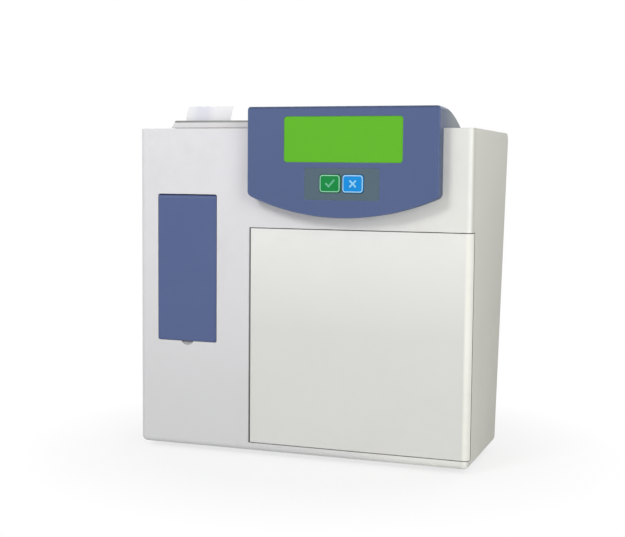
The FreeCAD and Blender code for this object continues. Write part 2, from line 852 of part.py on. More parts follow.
def make_electrode(index):
    # moulded block with a hexagonal filling plug on top and a round sight glass in front
    left = electrode_left + index * electrode_pitch
    rear = carrier_back_y - fit_gap
    front = rear - electrode_depth
    low = carrier_shelf_z + carrier_plate
    middle = left + electrode_width / 2
    body = box(left, left + electrode_width, front, rear, low, low + electrode_height)
    body = bevel_edges(body, 2.0, lambda edge: runs_along(edge, (0, 0, 1))
                       and near(edge.CenterOfMass.y, front))
    top = low + electrode_height
    neck = rod_z(middle, rear - electrode_depth / 2, 4.0, top, top + neck_height, small_sides)
    cap = rod_z(middle, rear - electrode_depth / 2, 5.5, top + neck_height, top + neck_height + cap_height, 6)
    block = join([body, neck, cap])
    sight = rod_y(middle, flow_z, 4.5, front - 1, front + 1.5, round_sides)
    return block.cut(sight)


def make_clamp_plate():
    rear = carrier_back_y - fit_gap
    front = rear - electrode_depth
    low = carrier_shelf_z + carrier_plate + fit_gap
    slab = box(clamp_left, clamp_left + clamp_thickness, front, rear, low, low + 34)
    slab = round_edges(slab, 5.0, lambda edge: runs_along(edge, (1, 0, 0))
                       and near(edge.CenterOfMass.y, front) and edge.CenterOfMass.z > flow_z)
    return slab


def make_latch_lever():
    # eccentric cam on the stud, with a handle that stands up when it is closed
    cam_x = lever_x - cam_throw * math.cos(cam_start)
    cam_z = lever_z + cam_throw * math.sin(cam_start)
    cam = rod_y(cam_x, cam_z, cam_radius, lever_front, lever_back, disc_sides)
    handle = box(lever_x - 3.0, lever_x + 4.0, lever_front, lever_back - 3, lever_z + 4, lever_z + 34)
    handle = round_edges(handle, 3.0, lambda edge: runs_along(edge, (0, 1, 0))
                         and edge.CenterOfMass.z > lever_z + 20)
    body = join([cam, handle])
    return body.cut(rod_y(lever_x, lever_z, stud_radius + pin_play, lever_front - 1, lever_back + 1))


# Pump

tube_path_radius = pump_pitch_radius + pump_roller_radius + tube_radius + 0.4
track_radius = tube_path_radius + tube_radius + 0.4
pump_half = track_radius + track_wall
pump_plate = 6.0
rotor_half = 4.4 + fit_gap
pump_rear_y = bay_back_y - pump_plate
rotor_front_y = flow_y - rotor_half - pump_disc
rotor_rear_y = flow_y + rotor_half + pump_disc
fitting_z = pump_z - 38.0
fitting_height = 9.0
fitting_grip = 6.0
tube_steps = 12
tube_sides = 8
pump_left_x = pump_x - tube_path_radius
pump_right_x = pump_x + tube_path_radius


def make_pump_body():
    # mounting plate, horseshoe track over the rotor and the bar that holds the tube ends
    low = fitting_z - fitting_height / 2
    base = box(pump_x - pump_half, pump_x + pump_half, pump_rear_y, bay_back_y, low, pump_z + pump_half)
    base = bevel_edges(base, 6.0, lambda edge: runs_along(edge, (0, 1, 0)))
    track = sector_y(pump_x, pump_z, track_radius, pump_half, 0, 180, rotor_front_y, pump_rear_y)
    legs = []
    for side in (-1, 1):
        inner = pump_x + side * track_radius
        outer = pump_x + side * pump_half
        legs.append(box(min(inner, outer), max(inner, outer), rotor_front_y, pump_rear_y,
                        pump_z - 24, pump_z))
    bar = box(pump_x - pump_half, pump_x + pump_half, flow_y - 6, pump_rear_y, low, low + fitting_height)
    body = join([base, track, bar] + legs)
    bores = [rod_z(x, flow_y, tube_radius, low - 1, low + fitting_height + 1, tube_sides)
             for x in (pump_left_x, pump_right_x)]
    bores.append(rod_y(pump_x, pump_z, 3.0, pump_rear_y - 1, bay_back_y + 1, small_sides))
    return body.cut(bores)


def roller_place(index):
    angle = math.radians(90 + index * 360 / pump_roller_count)
    return pump_x + pump_pitch_radius * math.cos(angle), pump_z + pump_pitch_radius * math.sin(angle)


def make_pump_rotor():
    # two discs on one shaft, with a pin for each roller between them
    front = rod_y(pump_x, pump_z, pump_disc_radius, rotor_front_y, rotor_front_y + pump_disc, disc_sides)
    rear = rod_y(pump_x, pump_z, pump_disc_radius, rotor_rear_y - pump_disc, rotor_rear_y, disc_sides)
    hub = rod_y(pump_x, pump_z, 7.0, rotor_front_y - 3, rotor_rear_y, round_sides)
    shaft = rod_y(pump_x, pump_z, 2.5, rotor_rear_y, bay_back_y + tub_wall + 1, small_sides)
    pieces = [front, rear, hub, shaft]
    windows = []
    for index in range(pump_roller_count):
        x, z = roller_place(index)
        pieces.append(rod_y(x, z, roller_pin_radius, rotor_front_y + pump_disc, rotor_rear_y - pump_disc,
                            small_sides))
        angle = math.radians(150 + index * 360 / pump_roller_count)
        windows.append(rod_y(pump_x + 12 * math.cos(angle), pump_z + 12 * math.sin(angle), 3.6,
                             rotor_front_y - 1, rotor_front_y + pump_disc, small_sides))
    return join(pieces).cut(windows)


def make_pump_roller(index):
    x, z = roller_place(index)
    roller = rod_y(x, z, pump_roller_radius, flow_y - 4.4, flow_y + 4.4, round_sides)
    return roller.cut(rod_y(x, z, roller_pin_radius + pin_play, flow_y - 6, flow_y + 6))


def make_pump_tube():
    # two legs and the half turn over the rollers
    low = fitting_z + fitting_height / 2 - fitting_grip
    route = [V(pump_left_x, flow_y, low)]
    for index in range(tube_steps + 1):
        turn = math.pi * (1 - index / tube_steps)
        route.append(V(pump_x + tube_path_radius * math.cos(turn), flow_y,
                       pump_z + tube_path_radius * math.sin(turn)))
    route.append(V(pump_right_x, flow_y, low))
    return tube(route, tube_radius)


def make_pump_motor():
    rear = bay_back_y + tub_wall
    half = 17.5
    can = box(pump_x - half, pump_x + half, rear, rear + 26, pump_z - half, pump_z + half)
    can = bevel_edges(can, 5.0, lambda edge: runs_along(edge, (0, 1, 0)))
    return can.cut(rod_y(pump_x, pump_z, 3.0, rear - 1, rear + 3, small_sides))


# Valves, reagent pack and the lines that are held between them

valve_right = bay_wall_x - 12.1
valve_left = valve_right - 46.0
valve_low = 160.0
valve_high = 205.0
valve_front = flow_y - 6.0
waste_port_x = valve_left + 6.0
pack_ports = (valve_left + 18.0, valve_left + 36.0)
pack_right = bay_wall_x - tub_wall - 3.0
pack_left = pack_right - 95.1
pack_front = front_y + door_flange + 6.0
pack_rear = bay_back_y - 2.0
pack_height = 122.0
pack_cap = 9.0
pack_tube_radius = 2.0
line_gap = 1.0


def make_valve_block():
    body = box(valve_left, valve_right, valve_front, bay_back_y, valve_low, valve_high)
    body = round_edges(body, 3.0, lambda edge: runs_along(edge, (0, 0, 1))
                       and near(edge.CenterOfMass.y, valve_front))
    bores = [rod_z(waste_port_x, flow_y, tube_radius, valve_low - 1, valve_low + 8, tube_sides)]
    for x in pack_ports:
        bores.append(rod_z(x, flow_y, pack_tube_radius, valve_low - 1, valve_low + 8, small_sides))
    return body.cut(bores)


def make_valve_solenoids():
    coils = []
    for index in range(3):
        x = valve_left + 8.5 + index * 14.5
        z = (valve_low + valve_high) / 2
        coil = rod_y(x, z, 6.5, valve_front - 20, valve_front, round_sides)
        plunger = rod_y(x, z, 2.0, valve_front - 23, valve_front - 20, small_sides)
        coils.append(join([coil, plunger]))
    return Part.Compound(coils)


def make_reagent_pack():
    # sealed pack with two capped spouts, its walls drawn in round the middle
    high = door_low + fit_gap + pack_height
    body = box(pack_left, pack_right, pack_front, pack_rear, door_low + fit_gap, high)
    body = bevel_edges(body, 5.0, lambda edge: runs_along(edge, (0, 0, 1)))
    middle = door_low + pack_height / 2
    grip = box(pack_left - 1, pack_left + 2.5, pack_front - 1, pack_rear + 1, middle - 14, middle + 14)
    pieces = [body.cut(grip)]
    for x in pack_ports:
        pieces.append(rod_z(x, flow_y, 6.0, high, high + pack_cap, round_sides))
    pack = join(pieces)
    bores = [rod_z(x, flow_y, pack_tube_radius, high + pack_cap - 4, high + pack_cap + 1, small_sides)
             for x in pack_ports]
    return pack.cut(bores)


def make_pack_tubes():
    low = door_low + fit_gap + pack_height + pack_cap - 4
    high = valve_low + 6
    return Part.Compound([rod_z(x, flow_y, pack_tube_radius, low, high, small_sides) for x in pack_ports])


line_low_z = 34.0
line_bend = 7.0
bend_steps = 3


def rounded_route(corners):
    # route in the plane of the flow, each inner corner rounded
    points = [V(x, flow_y, z) for x, z in corners]
    route = points[:1]
    for before, corner, after in zip(points, points[1:], points[2:]):
        route += bend_points(before, corner, after, line_bend, bend_steps)
    return route + points[-1:]


def make_sample_line():
    # from the carrier port down the left wall and up into the pump
    side_x = carrier_left - 12.0
    end_z = fitting_z + fitting_height / 2 - fitting_grip - line_gap
    corners = [(carrier_left + 2, flow_z), (side_x, flow_z), (side_x, line_low_z),
               (pump_left_x, line_low_z), (pump_left_x, end_z)]
    return tube(rounded_route(corners), tube_radius)


def make_waste_line():
    # from the valve block along the carrier, down beside the pack and up into the pump
    end_z = fitting_z + fitting_height / 2 - fitting_grip - line_gap
    along_z = carrier_shelf_z - 6.0
    down_x = pack_left - 8.0
    corners = [(waste_port_x, valve_low + 6), (waste_port_x, along_z), (down_x, along_z),
               (down_x, line_low_z), (pump_right_x, line_low_z), (pump_right_x, end_z)]
    return tube(rounded_route(corners), tube_radius)


# Sampler

sampler_rear = front_y + sampler_depth
sampler_low = flap_low - notch_depth - 2.0
sampler_high = flap_high + 2.5
probe_y = front_y + 32.0
probe_z = flap_high - 43.0
arm_half = 5.7
arm_drop = 34.0


def make_sampler_tub():
    outer = box(sampler_left - tub_wall, sampler_right + tub_wall, inner_front_y, sampler_rear + tub_wall,
                sampler_low - tub_wall, sampler_high + tub_wall)
    inner = box(sampler_left, sampler_right, inner_front_y - 1, sampler_rear, sampler_low, sampler_high)
    posts = []
    for x in (sampler_left + 6, sampler_right - 6):
        for z in (sampler_low + 12, board_high - 8):
            posts.append(rod_y(x, z, 3.0, sampler_rear + tub_wall, main_board_y, small_sides))
    tub = join([outer] + posts).cut(inner)
    left = sampler_left - tub_wall - 1
    right = sampler_right + tub_wall + 1
    holes = [rod_x(probe_y, probe_z, shaft_radius, left, right, small_sides),
             rod_x(flap_axis_y, flap_axis_z, flap_pin_radius, left, right, small_sides)]
    return tub.cut(holes)


def make_sampler_flap():
    # flat skin whose upper edge is rounded about the hinge, with an ear at each end
    back = front_y + flap_skin
    skin = rounded_box(flap_left, flap_right, front_y, back, flap_low, flap_axis_z + 4, (0, 1, 0), 2.0)
    skin = skin.cut(box(flap_left - 1, flap_right + 1, front_y - 1, back + 1, flap_axis_z, flap_axis_z + 5))
    nose = sector_x(flap_axis_y, flap_axis_z, flap_nose - flap_skin, flap_nose, 90, 90, flap_left, flap_right)
    pieces = [skin, nose]
    for left in (flap_left, flap_right - flap_ear):
        pieces.append(rod_x(flap_axis_y, flap_axis_z, flap_nose, left, left + flap_ear, round_sides))
        pieces.append(box(left, left + rib_thickness, back, back + 2.5, flap_low + 4, flap_axis_z))
    pieces.append(box(flap_left, flap_right, back, back + 2.5, flap_low + 4, flap_low + 4 + rib_thickness))
    flap = join(pieces)
    bore = rod_x(flap_axis_y, flap_axis_z, around(flap_pin_radius + pin_play),
                 flap_left - 1, flap_right + 1, small_sides)
    return flap.cut(bore)


def make_probe_shaft():
    # shaft between the walls, a collar on each side keeps the arm in the middle
    shaft = rod_x(probe_y, probe_z, shaft_radius, sampler_left - tub_wall, sampler_right + tub_wall,
                  small_sides)
    collars = []
    for side in (-1, 1):
        x = flap_centre_x + side * (arm_half + 1.8)
        collars.append(rod_x(probe_y, probe_z, shaft_radius + 2, x - 1.5, x + 1.5, small_sides))
    return join([shaft] + collars)


def make_probe_arm():
    hub = rod_x(probe_y, probe_z, 6.0, flap_centre_x - arm_half, flap_centre_x + arm_half, round_sides)
    blade = box(flap_centre_x - 4, flap_centre_x + 4, probe_y - 3.5, probe_y + 3.5,
                probe_z - arm_drop, probe_z)
    blade = round_edges(blade, 2.5, lambda edge: runs_along(edge, (0, 1, 0))
                        and edge.CenterOfMass.z < probe_z - 5)
    arm = join([hub, blade])
    bore = rod_x(probe_y, probe_z, shaft_radius + pin_play, flap_centre_x - 20, flap_centre_x + 20)
    needle = rod_z(flap_centre_x, probe_y, needle_radius, probe_z - arm_drop - 1, probe_z - 12, small_sides)
    return arm.cut([bore, needle])


def make_probe_needle():
    # steel tube, blunt at its tip
    return rod_z(flap_centre_x, probe_y, needle_radius, probe_z - probe_drop, probe_z - 12, small_sides)


# Electronics behind the tubs, each block as (place from the board's left end, z, width, height, thickness)

board_left = -half_width + 11.0
board_right = board_left + 90.0
board_low = 84.0
board_high = 244.0
main_board_y = sampler_rear + 30.0
board_thickness = 1.6
board_blocks = [
    (14.0, 180.0, 28.0, 28.0, 3.0),
    (52.0, 190.0, 16.0, 30.0, 4.0),
    (14.0, 140.0, 14.0, 14.0, 2.0),
    (44.0, 130.0, 36.0, 9.0, 9.0),
    (14.0, 98.0, 60.0, 8.0, 10.0),
    (72.0, 215.0, 12.0, 14.0, 12.0),
]
supply_width = 64.0
supply_depth = 76.0
supply_height = 58.0
supply_vents = 6


def make_main_board():
    front = main_board_y + board_thickness
    pieces = [box(board_left, board_right, main_board_y, front, board_low, board_high)]
    for x, z, width, height, thickness in board_blocks:
        pieces.append(box(board_left + x, board_left + x + width, front, front + thickness, z, z + height))
    return join(pieces)


def make_power_supply():
    # closed cage on the base with a row of vents along its top
    left = -supply_width / 2 + inlet_x - 12.0
    low = base_top + fit_gap
    front = front_y + 20.0
    high = low + supply_height
    cage = box(left, left + supply_width, front, front + supply_depth, low, high)
    pitch = (supply_depth - 16.0) / supply_vents
    vents = []
    for index in range(supply_vents):
        y = front + 10.0 + index * pitch
        vents.append(box(left + 10, left + supply_width - 10, y, y + 4, high - 2, high + 1))
    return cage.cut(vents)


# Rear connectors

def rear_frame(x, width, height, border, thick):
    return box(x - width / 2 - border, x + width / 2 + border, -panel_sink, thick,
               inlet_z - height / 2 - border, inlet_z + height / 2 + border)


def make_power_inlet():
    # appliance inlet: moulded body through the panel with a socket and three blades
    flange = rear_frame(inlet_x, inlet_width, inlet_height, 2.5, 1.5)
    body = box(inlet_x - inlet_width / 2 + 0.1, inlet_x + inlet_width / 2 - 0.1, -24, 0,
               inlet_z - inlet_height / 2 + 0.1, inlet_z + inlet_height / 2 - 0.1)
    inlet = join([flange, body])
    left = inlet_x - inlet_width / 2 + 2
    right = inlet_x + inlet_width / 2 - 2
    low = inlet_z - inlet_height / 2 + 2
    high = inlet_z + inlet_height / 2 - 2
    outline = [
        (left, low),
        (right, low),
        (right, high - 4),
        (right - 5, high),
        (left + 5, high),
        (left, high - 4),
    ]
    inlet = inlet.cut(prism_y(outline, -socket_depth, 3))
    blades = []
    for dx, dz in ((-7, -2), (0, 2), (7, -2)):
        x = inlet_x + dx
        z = inlet_z + dz
        blades.append(box(x - 1, x + 1, -socket_depth - 1, -blade_recess, z - 2.5, z + 2.5))
    return on_rear(join([inlet] + blades))


rocker_throw = 12.0
rocker_pin_out = -5.0


def make_power_switch():
    frame = rear_frame(switch_x, switch_width, switch_height, 1.5, 1.5)
    body = box(switch_x - switch_width / 2 + 0.1, switch_x + switch_width / 2 - 0.1, -20, 0,
               inlet_z - switch_height / 2 + 0.1, inlet_z + switch_height / 2 - 0.1)
    pocket = box(switch_x - switch_width / 2 + 1.5, switch_x + switch_width / 2 - 1.5, -12, 3,
                 inlet_z - switch_height / 2 + 0.8, inlet_z + switch_height / 2 - 0.8)
    return on_rear(join([frame, body]).cut(pocket))


def make_power_rocker():
    # two-faced paddle about a pin across the pocket, pressed in at its lower end
    half = switch_height / 2 - 2.0
    width = switch_width / 2 - 1.8
    tilt = math.radians(rocker_throw)
    rise = half * math.tan(tilt)
    outline = [(-6.0, -half + 1), (0.6 - rise, -half), (0.6, 0), (0.6, half), (-6.0, half - 1)]
    paddle = prism_x(outline, switch_x - width, switch_x + width)
    pin = rod_x(rocker_pin_out, 0, 1.0, switch_x - width - 0.2, switch_x + width + 0.2)
    paddle = join([paddle, pin])
    paddle.translate(V(0, 0, inlet_z))
    return on_rear(paddle)


def make_serial_port():
    # nine-way connector with a sloping-sided metal shell and two jack posts
    flange = box(serial_x - 15.5, serial_x + 15.5, -panel_sink, 0.5, inlet_z - 6.2, inlet_z + 6.2)
    body = box(serial_x - 9.4, serial_x + 9.4, -11, 0, inlet_z - 5.1, inlet_z + 5.1)
    outline = [(serial_x - 8.4, inlet_z + 4.2), (serial_x + 8.4, inlet_z + 4.2),
               (serial_x + 7.0, inlet_z - 4.2), (serial_x - 7.0, inlet_z - 4.2)]
    shell = prism_y(outline, 0, 5.5)
    face = [(serial_x - 7.6, inlet_z + 3.5), (serial_x + 7.6, inlet_z + 3.5),
            (serial_x + 6.4, inlet_z - 3.5), (serial_x - 6.4, inlet_z - 3.5)]
    posts = []
    for side in (-1, 1):
        ring = Part.Wire(Part.makePolygon(hexagon(serial_x + side * 12.5, 2.6)))
        posts.append(Part.Face(ring).extrude(V(0, 4, 0)))
    port = join([flange, body, shell] + posts)
    return on_rear(port.cut(prism_y(face, 3.5, 6)))


def hexagon(x, radius):
    ring = []
    for index in range(7):
        angle = math.radians(60 * index)
        ring.append(V(x + radius * math.cos(angle), 0.5, inlet_z + radius * math.sin(angle)))
    return ring


# Printer

def make_printer_collar():
    # low frame with a sloping left end and a shadow gap along its foot
    slope = 5.0
    step = collar_shadow
    upper = prism_y([(collar_left + 1, case_top + step), (collar_right, case_top + step),
                     (collar_right, collar_top), (collar_left + slope, collar_top)],
                    collar_front, collar_rear)
    foot = box(collar_left + slope, collar_right - 1, collar_front + 1, collar_rear - 1,
               case_top, case_top + step)
    inner = box(well_left + 0.2, well_right - 0.2, collar_front + bar_width, well_rear - 2,
                case_top - 1, collar_top + 1)
    return join([upper, foot]).cut(inner)


def lid_edges(grow):
    return (lid_centre_x - lid_width / 2 - grow, lid_centre_x + lid_width / 2 + grow)


def make_printer_bezel():
    # dark frame on the collar, its front bar ends in a tear edge at the paper
    left, right = lid_edges(lid_gap)
    sheet = box(collar_left + 5, collar_right, collar_front, collar_rear, collar_top, bezel_top)
    sheet = round_edges(sheet, 1.2, lambda edge: near(edge.BoundBox.ZMin, bezel_top))
    bar_rear = collar_front + bar_width
    opening = box(left, right, bar_rear, collar_rear - frame_width, collar_top - 1, bezel_top + 1)
    tear = prism_x([(bar_rear - 1, collar_top), (bar_rear + 1.2, bezel_top - 0.6),
                    (bar_rear + 1.2, bezel_top), (bar_rear - 1, bezel_top)],
                   paper_left, paper_right)
    return join([sheet.cut(opening), tear])


def make_printer_well():
    # tub for the roll, cheeks carry the print head in front and the lid pins at the rear
    depth_z = case_top - well_depth
    outer = box(well_left, well_right, well_front, well_rear, depth_z, case_top)
    inner = box(well_left + tub_wall, well_right - tub_wall, well_front + tub_wall, well_rear - tub_wall,
                depth_z + tub_wall, case_top + 1)
    # two cheeks keep the roll in line
    cheek_reach = paper_radius + 2.0
    cradle = []
    for x in (paper_left - 4.5, paper_right + 0.8):
        cradle.append(box(x, x + 2.5, roll_y - cheek_reach, roll_y + cheek_reach, depth_z + 1, roll_z))
    tub = join([outer.cut(inner)] + cradle)
    left, right = lid_edges(0)
    eyes = []
    for x0, x1 in ((well_left + 0.5, left - lid_gap), (right + lid_gap, well_right - 0.5)):
        eyes.append(box(x0, x1, lid_axis_y - 4, well_rear - 2.5, lid_axis_z - 12, lid_axis_z + 3))
    tub = join([tub] + eyes)
    return tub.cut(rod_x(lid_axis_y, lid_axis_z, lid_pin_radius, collar_left, collar_right, small_sides))


roll_y = front_y + 70.0
roll_z = case_top - well_depth + 2 * tub_wall + paper_radius + 1.0
nip_z = lid_axis_z - 5.0
platen_y = paper_y + paper_thickness / 2 + 0.55 + platen_radius


def make_print_head():
    # heat sink block with the thermal line facing the platen
    rear = paper_y - paper_thickness / 2 - fit_gap
    front = well_front + tub_wall
    left = well_left + tub_wall
    block = box(left, paper_right + 4, front, rear, nip_z - 12, nip_z + 2.5)
    fins = [box(left - 1, paper_right + 5, rear - 1.5, rear + 1, z, z + 1.5) for z in (nip_z - 9, nip_z - 6)]
    return block.cut(fins)


def make_paper_roll():
    # roll, the web that leaves it and the printed end that stands out of the slot
    half = paper_thickness / 2
    bend = 9.0
    bend_z = nip_z - 8.0
    centre_y = paper_y + bend
    dy = roll_y - centre_y
    dz = roll_z - bend_z
    distance = math.hypot(dy, dz)
    base_angle = math.degrees(math.atan2(dz, dy))
    # the web is an inner tangent line below both circles
    turn = math.degrees(math.asin((paper_radius - half - bend) / distance))
    web_angle = base_angle - turn
    normal = math.radians(web_angle - 90)
    start = (centre_y + bend * math.cos(normal), bend_z + bend * math.sin(normal))
    length = math.sqrt(distance ** 2 - (paper_radius - half - bend) ** 2)
    web = box(paper_left, paper_right, 0, length + 1, -half, half)
    web.rotate(V(0, 0, 0), V(1, 0, 0), web_angle)
    web.translate(V(0, start[0], start[1]))
    arc = sector_x(centre_y, bend_z, bend - half, bend + half, 180, web_angle + 90,
                   paper_left, paper_right)
    rise = box(paper_left, paper_right, paper_y - half, paper_y + half, bend_z, bezel_top)
    curl = 70.0
    sweep = math.degrees((paper_rise - (bezel_top - case_top)) / curl)
    tail = sector_x(paper_y + curl, bezel_top, curl - half, curl + half, 180 - sweep, sweep,
                    paper_left, paper_right)
    roll = rod_x(roll_y, roll_z, paper_radius, paper_left, paper_right, 2 * round_sides)
    core = rod_x(roll_y, roll_z, 6.0, paper_left - 1, paper_right + 1, round_sides)
    return join([roll.cut(core), web, arc, rise, tail])


ear_low_z = nip_z - 4.0


def make_printer_lid():
    # lid with a barrel-shaped rear edge, cheeks for the platen in front
    left, right = lid_edges(0)
    under = bezel_top - lid_thickness
    skin = box(left, right, lid_front, lid_axis_y, under, bezel_top)
    nose = sector_x(lid_axis_y, lid_axis_z, lid_nose - lid_thickness, lid_nose, 0, 90, left, right)
    pieces = [skin, nose]
    for x in (left, right - 3.0):
        pieces.append(rod_x(lid_axis_y, lid_axis_z, lid_nose, x, x + 3.0, round_sides))
        pieces.append(box(x, x + 3.0, lid_front + 14, lid_axis_y, under - 3.5, under))
    for x in (paper_left - 3.0, paper_right + 1.0):
        cheek = prism_x([(platen_y - 3.2, ear_low_z), (platen_y + 3.2, ear_low_z), (platen_y + 16, under),
                         (platen_y - 3.2, under)], x, x + 2.0)
        pieces.append(cheek)
    grip = box(lid_centre_x - 12, lid_centre_x + 12, lid_front + 7, lid_front + 14,
               bezel_top - 0.8, bezel_top + 1)
    lid = join(pieces).cut(grip)
    pin_hole = around(lid_pin_radius + pin_play)
    shaft_hole = around(platen_shaft_radius + pin_play)
    holes = [rod_x(lid_axis_y, lid_axis_z, pin_hole, left - 1, right + 1, small_sides),
             rod_x(platen_y, nip_z, shaft_hole, paper_left - 5, paper_right + 5, small_sides)]
    return lid.cut(holes)


def make_lid_hinge_pin():
    return rod_x(lid_axis_y, lid_axis_z, lid_pin_radius, well_left + 0.5, well_right - 0.5, small_sides)


def make_platen_roller():
    # rubber sleeve on a steel shaft with its drive wheel
    sleeve = rod_x(platen_y, nip_z, platen_radius, paper_left - 0.5, paper_right + 0.5, disc_sides)
    shaft = rod_x(platen_y, nip_z, platen_shaft_radius, paper_left - 4.0, paper_right + 8.5)
    wheel = rod_x(platen_y, nip_z, 5.0, paper_right + 4.0, paper_right + 8.0, round_sides)
    return join([sleeve, shaft, wheel])


def all_nodes():
    nodes = {
        "main_cover": make_main_cover(),
        "base_plate": make_base_plate(),
        "rear_panel": make_rear_panel(),
        "case_screws": make_case_screws(),
        "console_shell": make_console_shell(),
        "display_window": make_display_window(),
        "display_module": make_display_module(),
        "keypad_overlay": make_keypad_overlay(),
        "keypad_board": make_keypad_board(),
        "door_panel": make_door_panel(),
        "front_hinge_pins": make_front_hinge_pins(),
        "door_catch": make_door_catch(),
        "door_strike": make_door_strike(),
        "bay_liner": make_bay_liner(),
        "electrode_carrier": make_electrode_carrier(),
        "clamp_plate": make_clamp_plate(),
        "latch_lever": make_latch_lever(),
        "pump_body": make_pump_body(),
        "pump_rotor": make_pump_rotor(),
        "pump_tube": make_pump_tube(),
        "pump_motor": make_pump_motor(),
        "valve_block": make_valve_block(),
        "valve_solenoids": make_valve_solenoids(),
        "reagent_pack": make_reagent_pack(),
        "pack_tubes": make_pack_tubes(),
        "sample_line": make_sample_line(),
        "waste_line": make_waste_line(),
        "sampler_tub": make_sampler_tub(),
        "sampler_flap": make_sampler_flap(),
        "probe_shaft": make_probe_shaft(),
        "probe_arm": make_probe_arm(),
        "probe_needle": make_probe_needle(),
        "main_board": make_main_board(),
        "power_supply": make_power_supply(),
        "power_inlet": make_power_inlet(),
        "power_switch": make_power_switch(),
        "power_rocker": make_power_rocker(),
        "serial_port": make_serial_port(),
        "printer_collar": make_printer_collar(),
        "printer_bezel": make_printer_bezel(),
        "printer_well": make_printer_well(),
        "print_head": make_print_head(),
        "paper_roll": make_paper_roll(),
        "printer_lid": make_printer_lid(),
        "lid_hinge_pin": make_lid_hinge_pin(),
        "platen_roller": make_platen_roller(),
    }
    for name, x in key_places.items():
        nodes[name] = make_key(x)
    for index, name in enumerate(electrode_names):
        nodes[name] = make_electrode(index)
    for index in range(pump_roller_count):
        nodes["pump_roller_%d" % (index + 1)] = make_pump_roller(index)
    for x, side in ((-foot_x, "left"), (foot_x, "right")):
        nodes["foot_front_" + side] = make_foot(x, foot_front_y)
        nodes["foot_rear_" + side] = make_foot(x, foot_rear_y)
    return nodes


os.makedirs("parts", exist_ok=True)
for name, shape in all_nodes().items():
    shape.exportStep("parts/" + name + ".step")
    print("%-22s solids %d valid %s volume %.0f" % (name, len(shape.Solids), shape.isValid(), shape.Volume))


def rear_point(x, out, up):
    point = on_rear(Part.Vertex(V(x, out, up))).Point
    return [round(value, 3) for value in point]


rollers = [round(value, 3) for index in range(pump_roller_count) for value in roller_place(index)]
socket_half = inlet_height / 2 - 4.0
socket_face = rear_point(inlet_x, 0.0, inlet_z)
print("front and rear planes", round(front_y, 3), round(rear_bottom_y, 3))
print("hinge of the door at", hinge_x, round(hinge_y, 3))
print("hinge of the flap at", round(flap_axis_y, 3), round(flap_axis_z, 3))
print("probe shaft at", round(probe_y, 3), round(probe_z, 3))
print("hinge of the lid at", round(lid_axis_y, 3), round(lid_axis_z, 3))
print("platen at", round(platen_y, 3), round(nip_z, 3))
print("lever at", round(lever_x, 3), round(lever_z, 3))
print("pump at", pump_x, pump_z)
print("pump rollers at", *rollers)
print("rocker pin at", *rear_point(switch_x, rocker_pin_out, inlet_z)[1:])
print("socket from", inlet_x - 10.0, socket_face[1] - 4.6, socket_face[2] - socket_half)
print("socket to", inlet_x + 10.0, socket_face[1] + 0.6, socket_face[2] + socket_half)
print("inlet mouth at", *rear_point(inlet_x, 1.5, inlet_z))
print("serial mouth at", *rear_point(serial_x, 5.5, inlet_z))
print("foot face at", foot_x - (foot_base_radius + foot_recess) / 2, round(foot_front_y, 3), 0.0)
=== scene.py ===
import json
import bmesh
import bpy
from math import asin, atan2, cos, hypot, pi, radians, sin, sqrt
from mathutils import Matrix, Vector


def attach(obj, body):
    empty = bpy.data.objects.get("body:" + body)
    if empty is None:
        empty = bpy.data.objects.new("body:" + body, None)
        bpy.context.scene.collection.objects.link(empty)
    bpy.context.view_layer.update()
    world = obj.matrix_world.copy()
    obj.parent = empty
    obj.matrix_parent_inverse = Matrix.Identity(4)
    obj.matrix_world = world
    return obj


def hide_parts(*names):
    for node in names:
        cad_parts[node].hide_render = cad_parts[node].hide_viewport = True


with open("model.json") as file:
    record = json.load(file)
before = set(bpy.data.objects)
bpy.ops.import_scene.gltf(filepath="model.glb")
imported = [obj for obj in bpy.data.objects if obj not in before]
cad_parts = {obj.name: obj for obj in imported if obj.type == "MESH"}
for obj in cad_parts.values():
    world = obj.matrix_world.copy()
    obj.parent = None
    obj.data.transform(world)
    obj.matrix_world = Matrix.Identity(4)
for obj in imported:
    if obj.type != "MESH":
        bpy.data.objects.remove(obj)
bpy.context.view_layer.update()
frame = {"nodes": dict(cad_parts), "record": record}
nodes = frame["nodes"]
mm = 0.001
print("frame loaded with", len(nodes), "nodes")

acrossX = Vector((1, 0, 0))
acrossY = Vector((0, 1, 0))
upZ = Vector((0, 0, 1))
plainGrey = (0.5, 0.5, 0.5, 1.0)


# Colours and node helpers

def screenTone(color):
    # a colour as a screen shows it, 0 to 255, in linear values
    parts = []
    for part in color:
        part /= 255
        parts.append(part / 12.92 if part <= 0.04045 else ((part + 0.055) / 1.055) ** 2.4)
    return (*parts, 1)


def feed(tree, socket, value):
    # a link or a fixed value
    if isinstance(value, bpy.types.NodeSocket):
        tree.links.new(value, socket)
    else:
        socket.default_value = value


def addNode(tree, kind, inputs=None, **settings):
    node = tree.nodes.new(kind)
    for name, value in settings.items():
        setattr(node, name, value)
    for name, value in (inputs or {}).items():
        feed(tree, node.inputs[name], value)
    return node


def addMath(tree, operation, first, second=0, third=0):
    inputs = {0: first, 1: second, 2: third}
    return addNode(tree, "ShaderNodeMath", inputs, operation=operation).outputs[0]


def addVectorMath(tree, operation, *given):
    inputs = dict(enumerate(given))
    return addNode(tree, "ShaderNodeVectorMath", inputs, operation=operation).outputs


def addMix(tree, factor, first, second):
    inputs = {0: factor, 6: first, 7: second}      # 6 and 7 are the colour sockets
    return addNode(tree, "ShaderNodeMix", inputs, data_type="RGBA").outputs[2]


def addRange(tree, value, low, high, newLow=0, newHigh=1):
    inputs = {"Value": value, "From Min": low, "From Max": high, "To Min": newLow,
        "To Max": newHigh}
    return addNode(tree, "ShaderNodeMapRange", inputs, clamp=True).outputs[0]


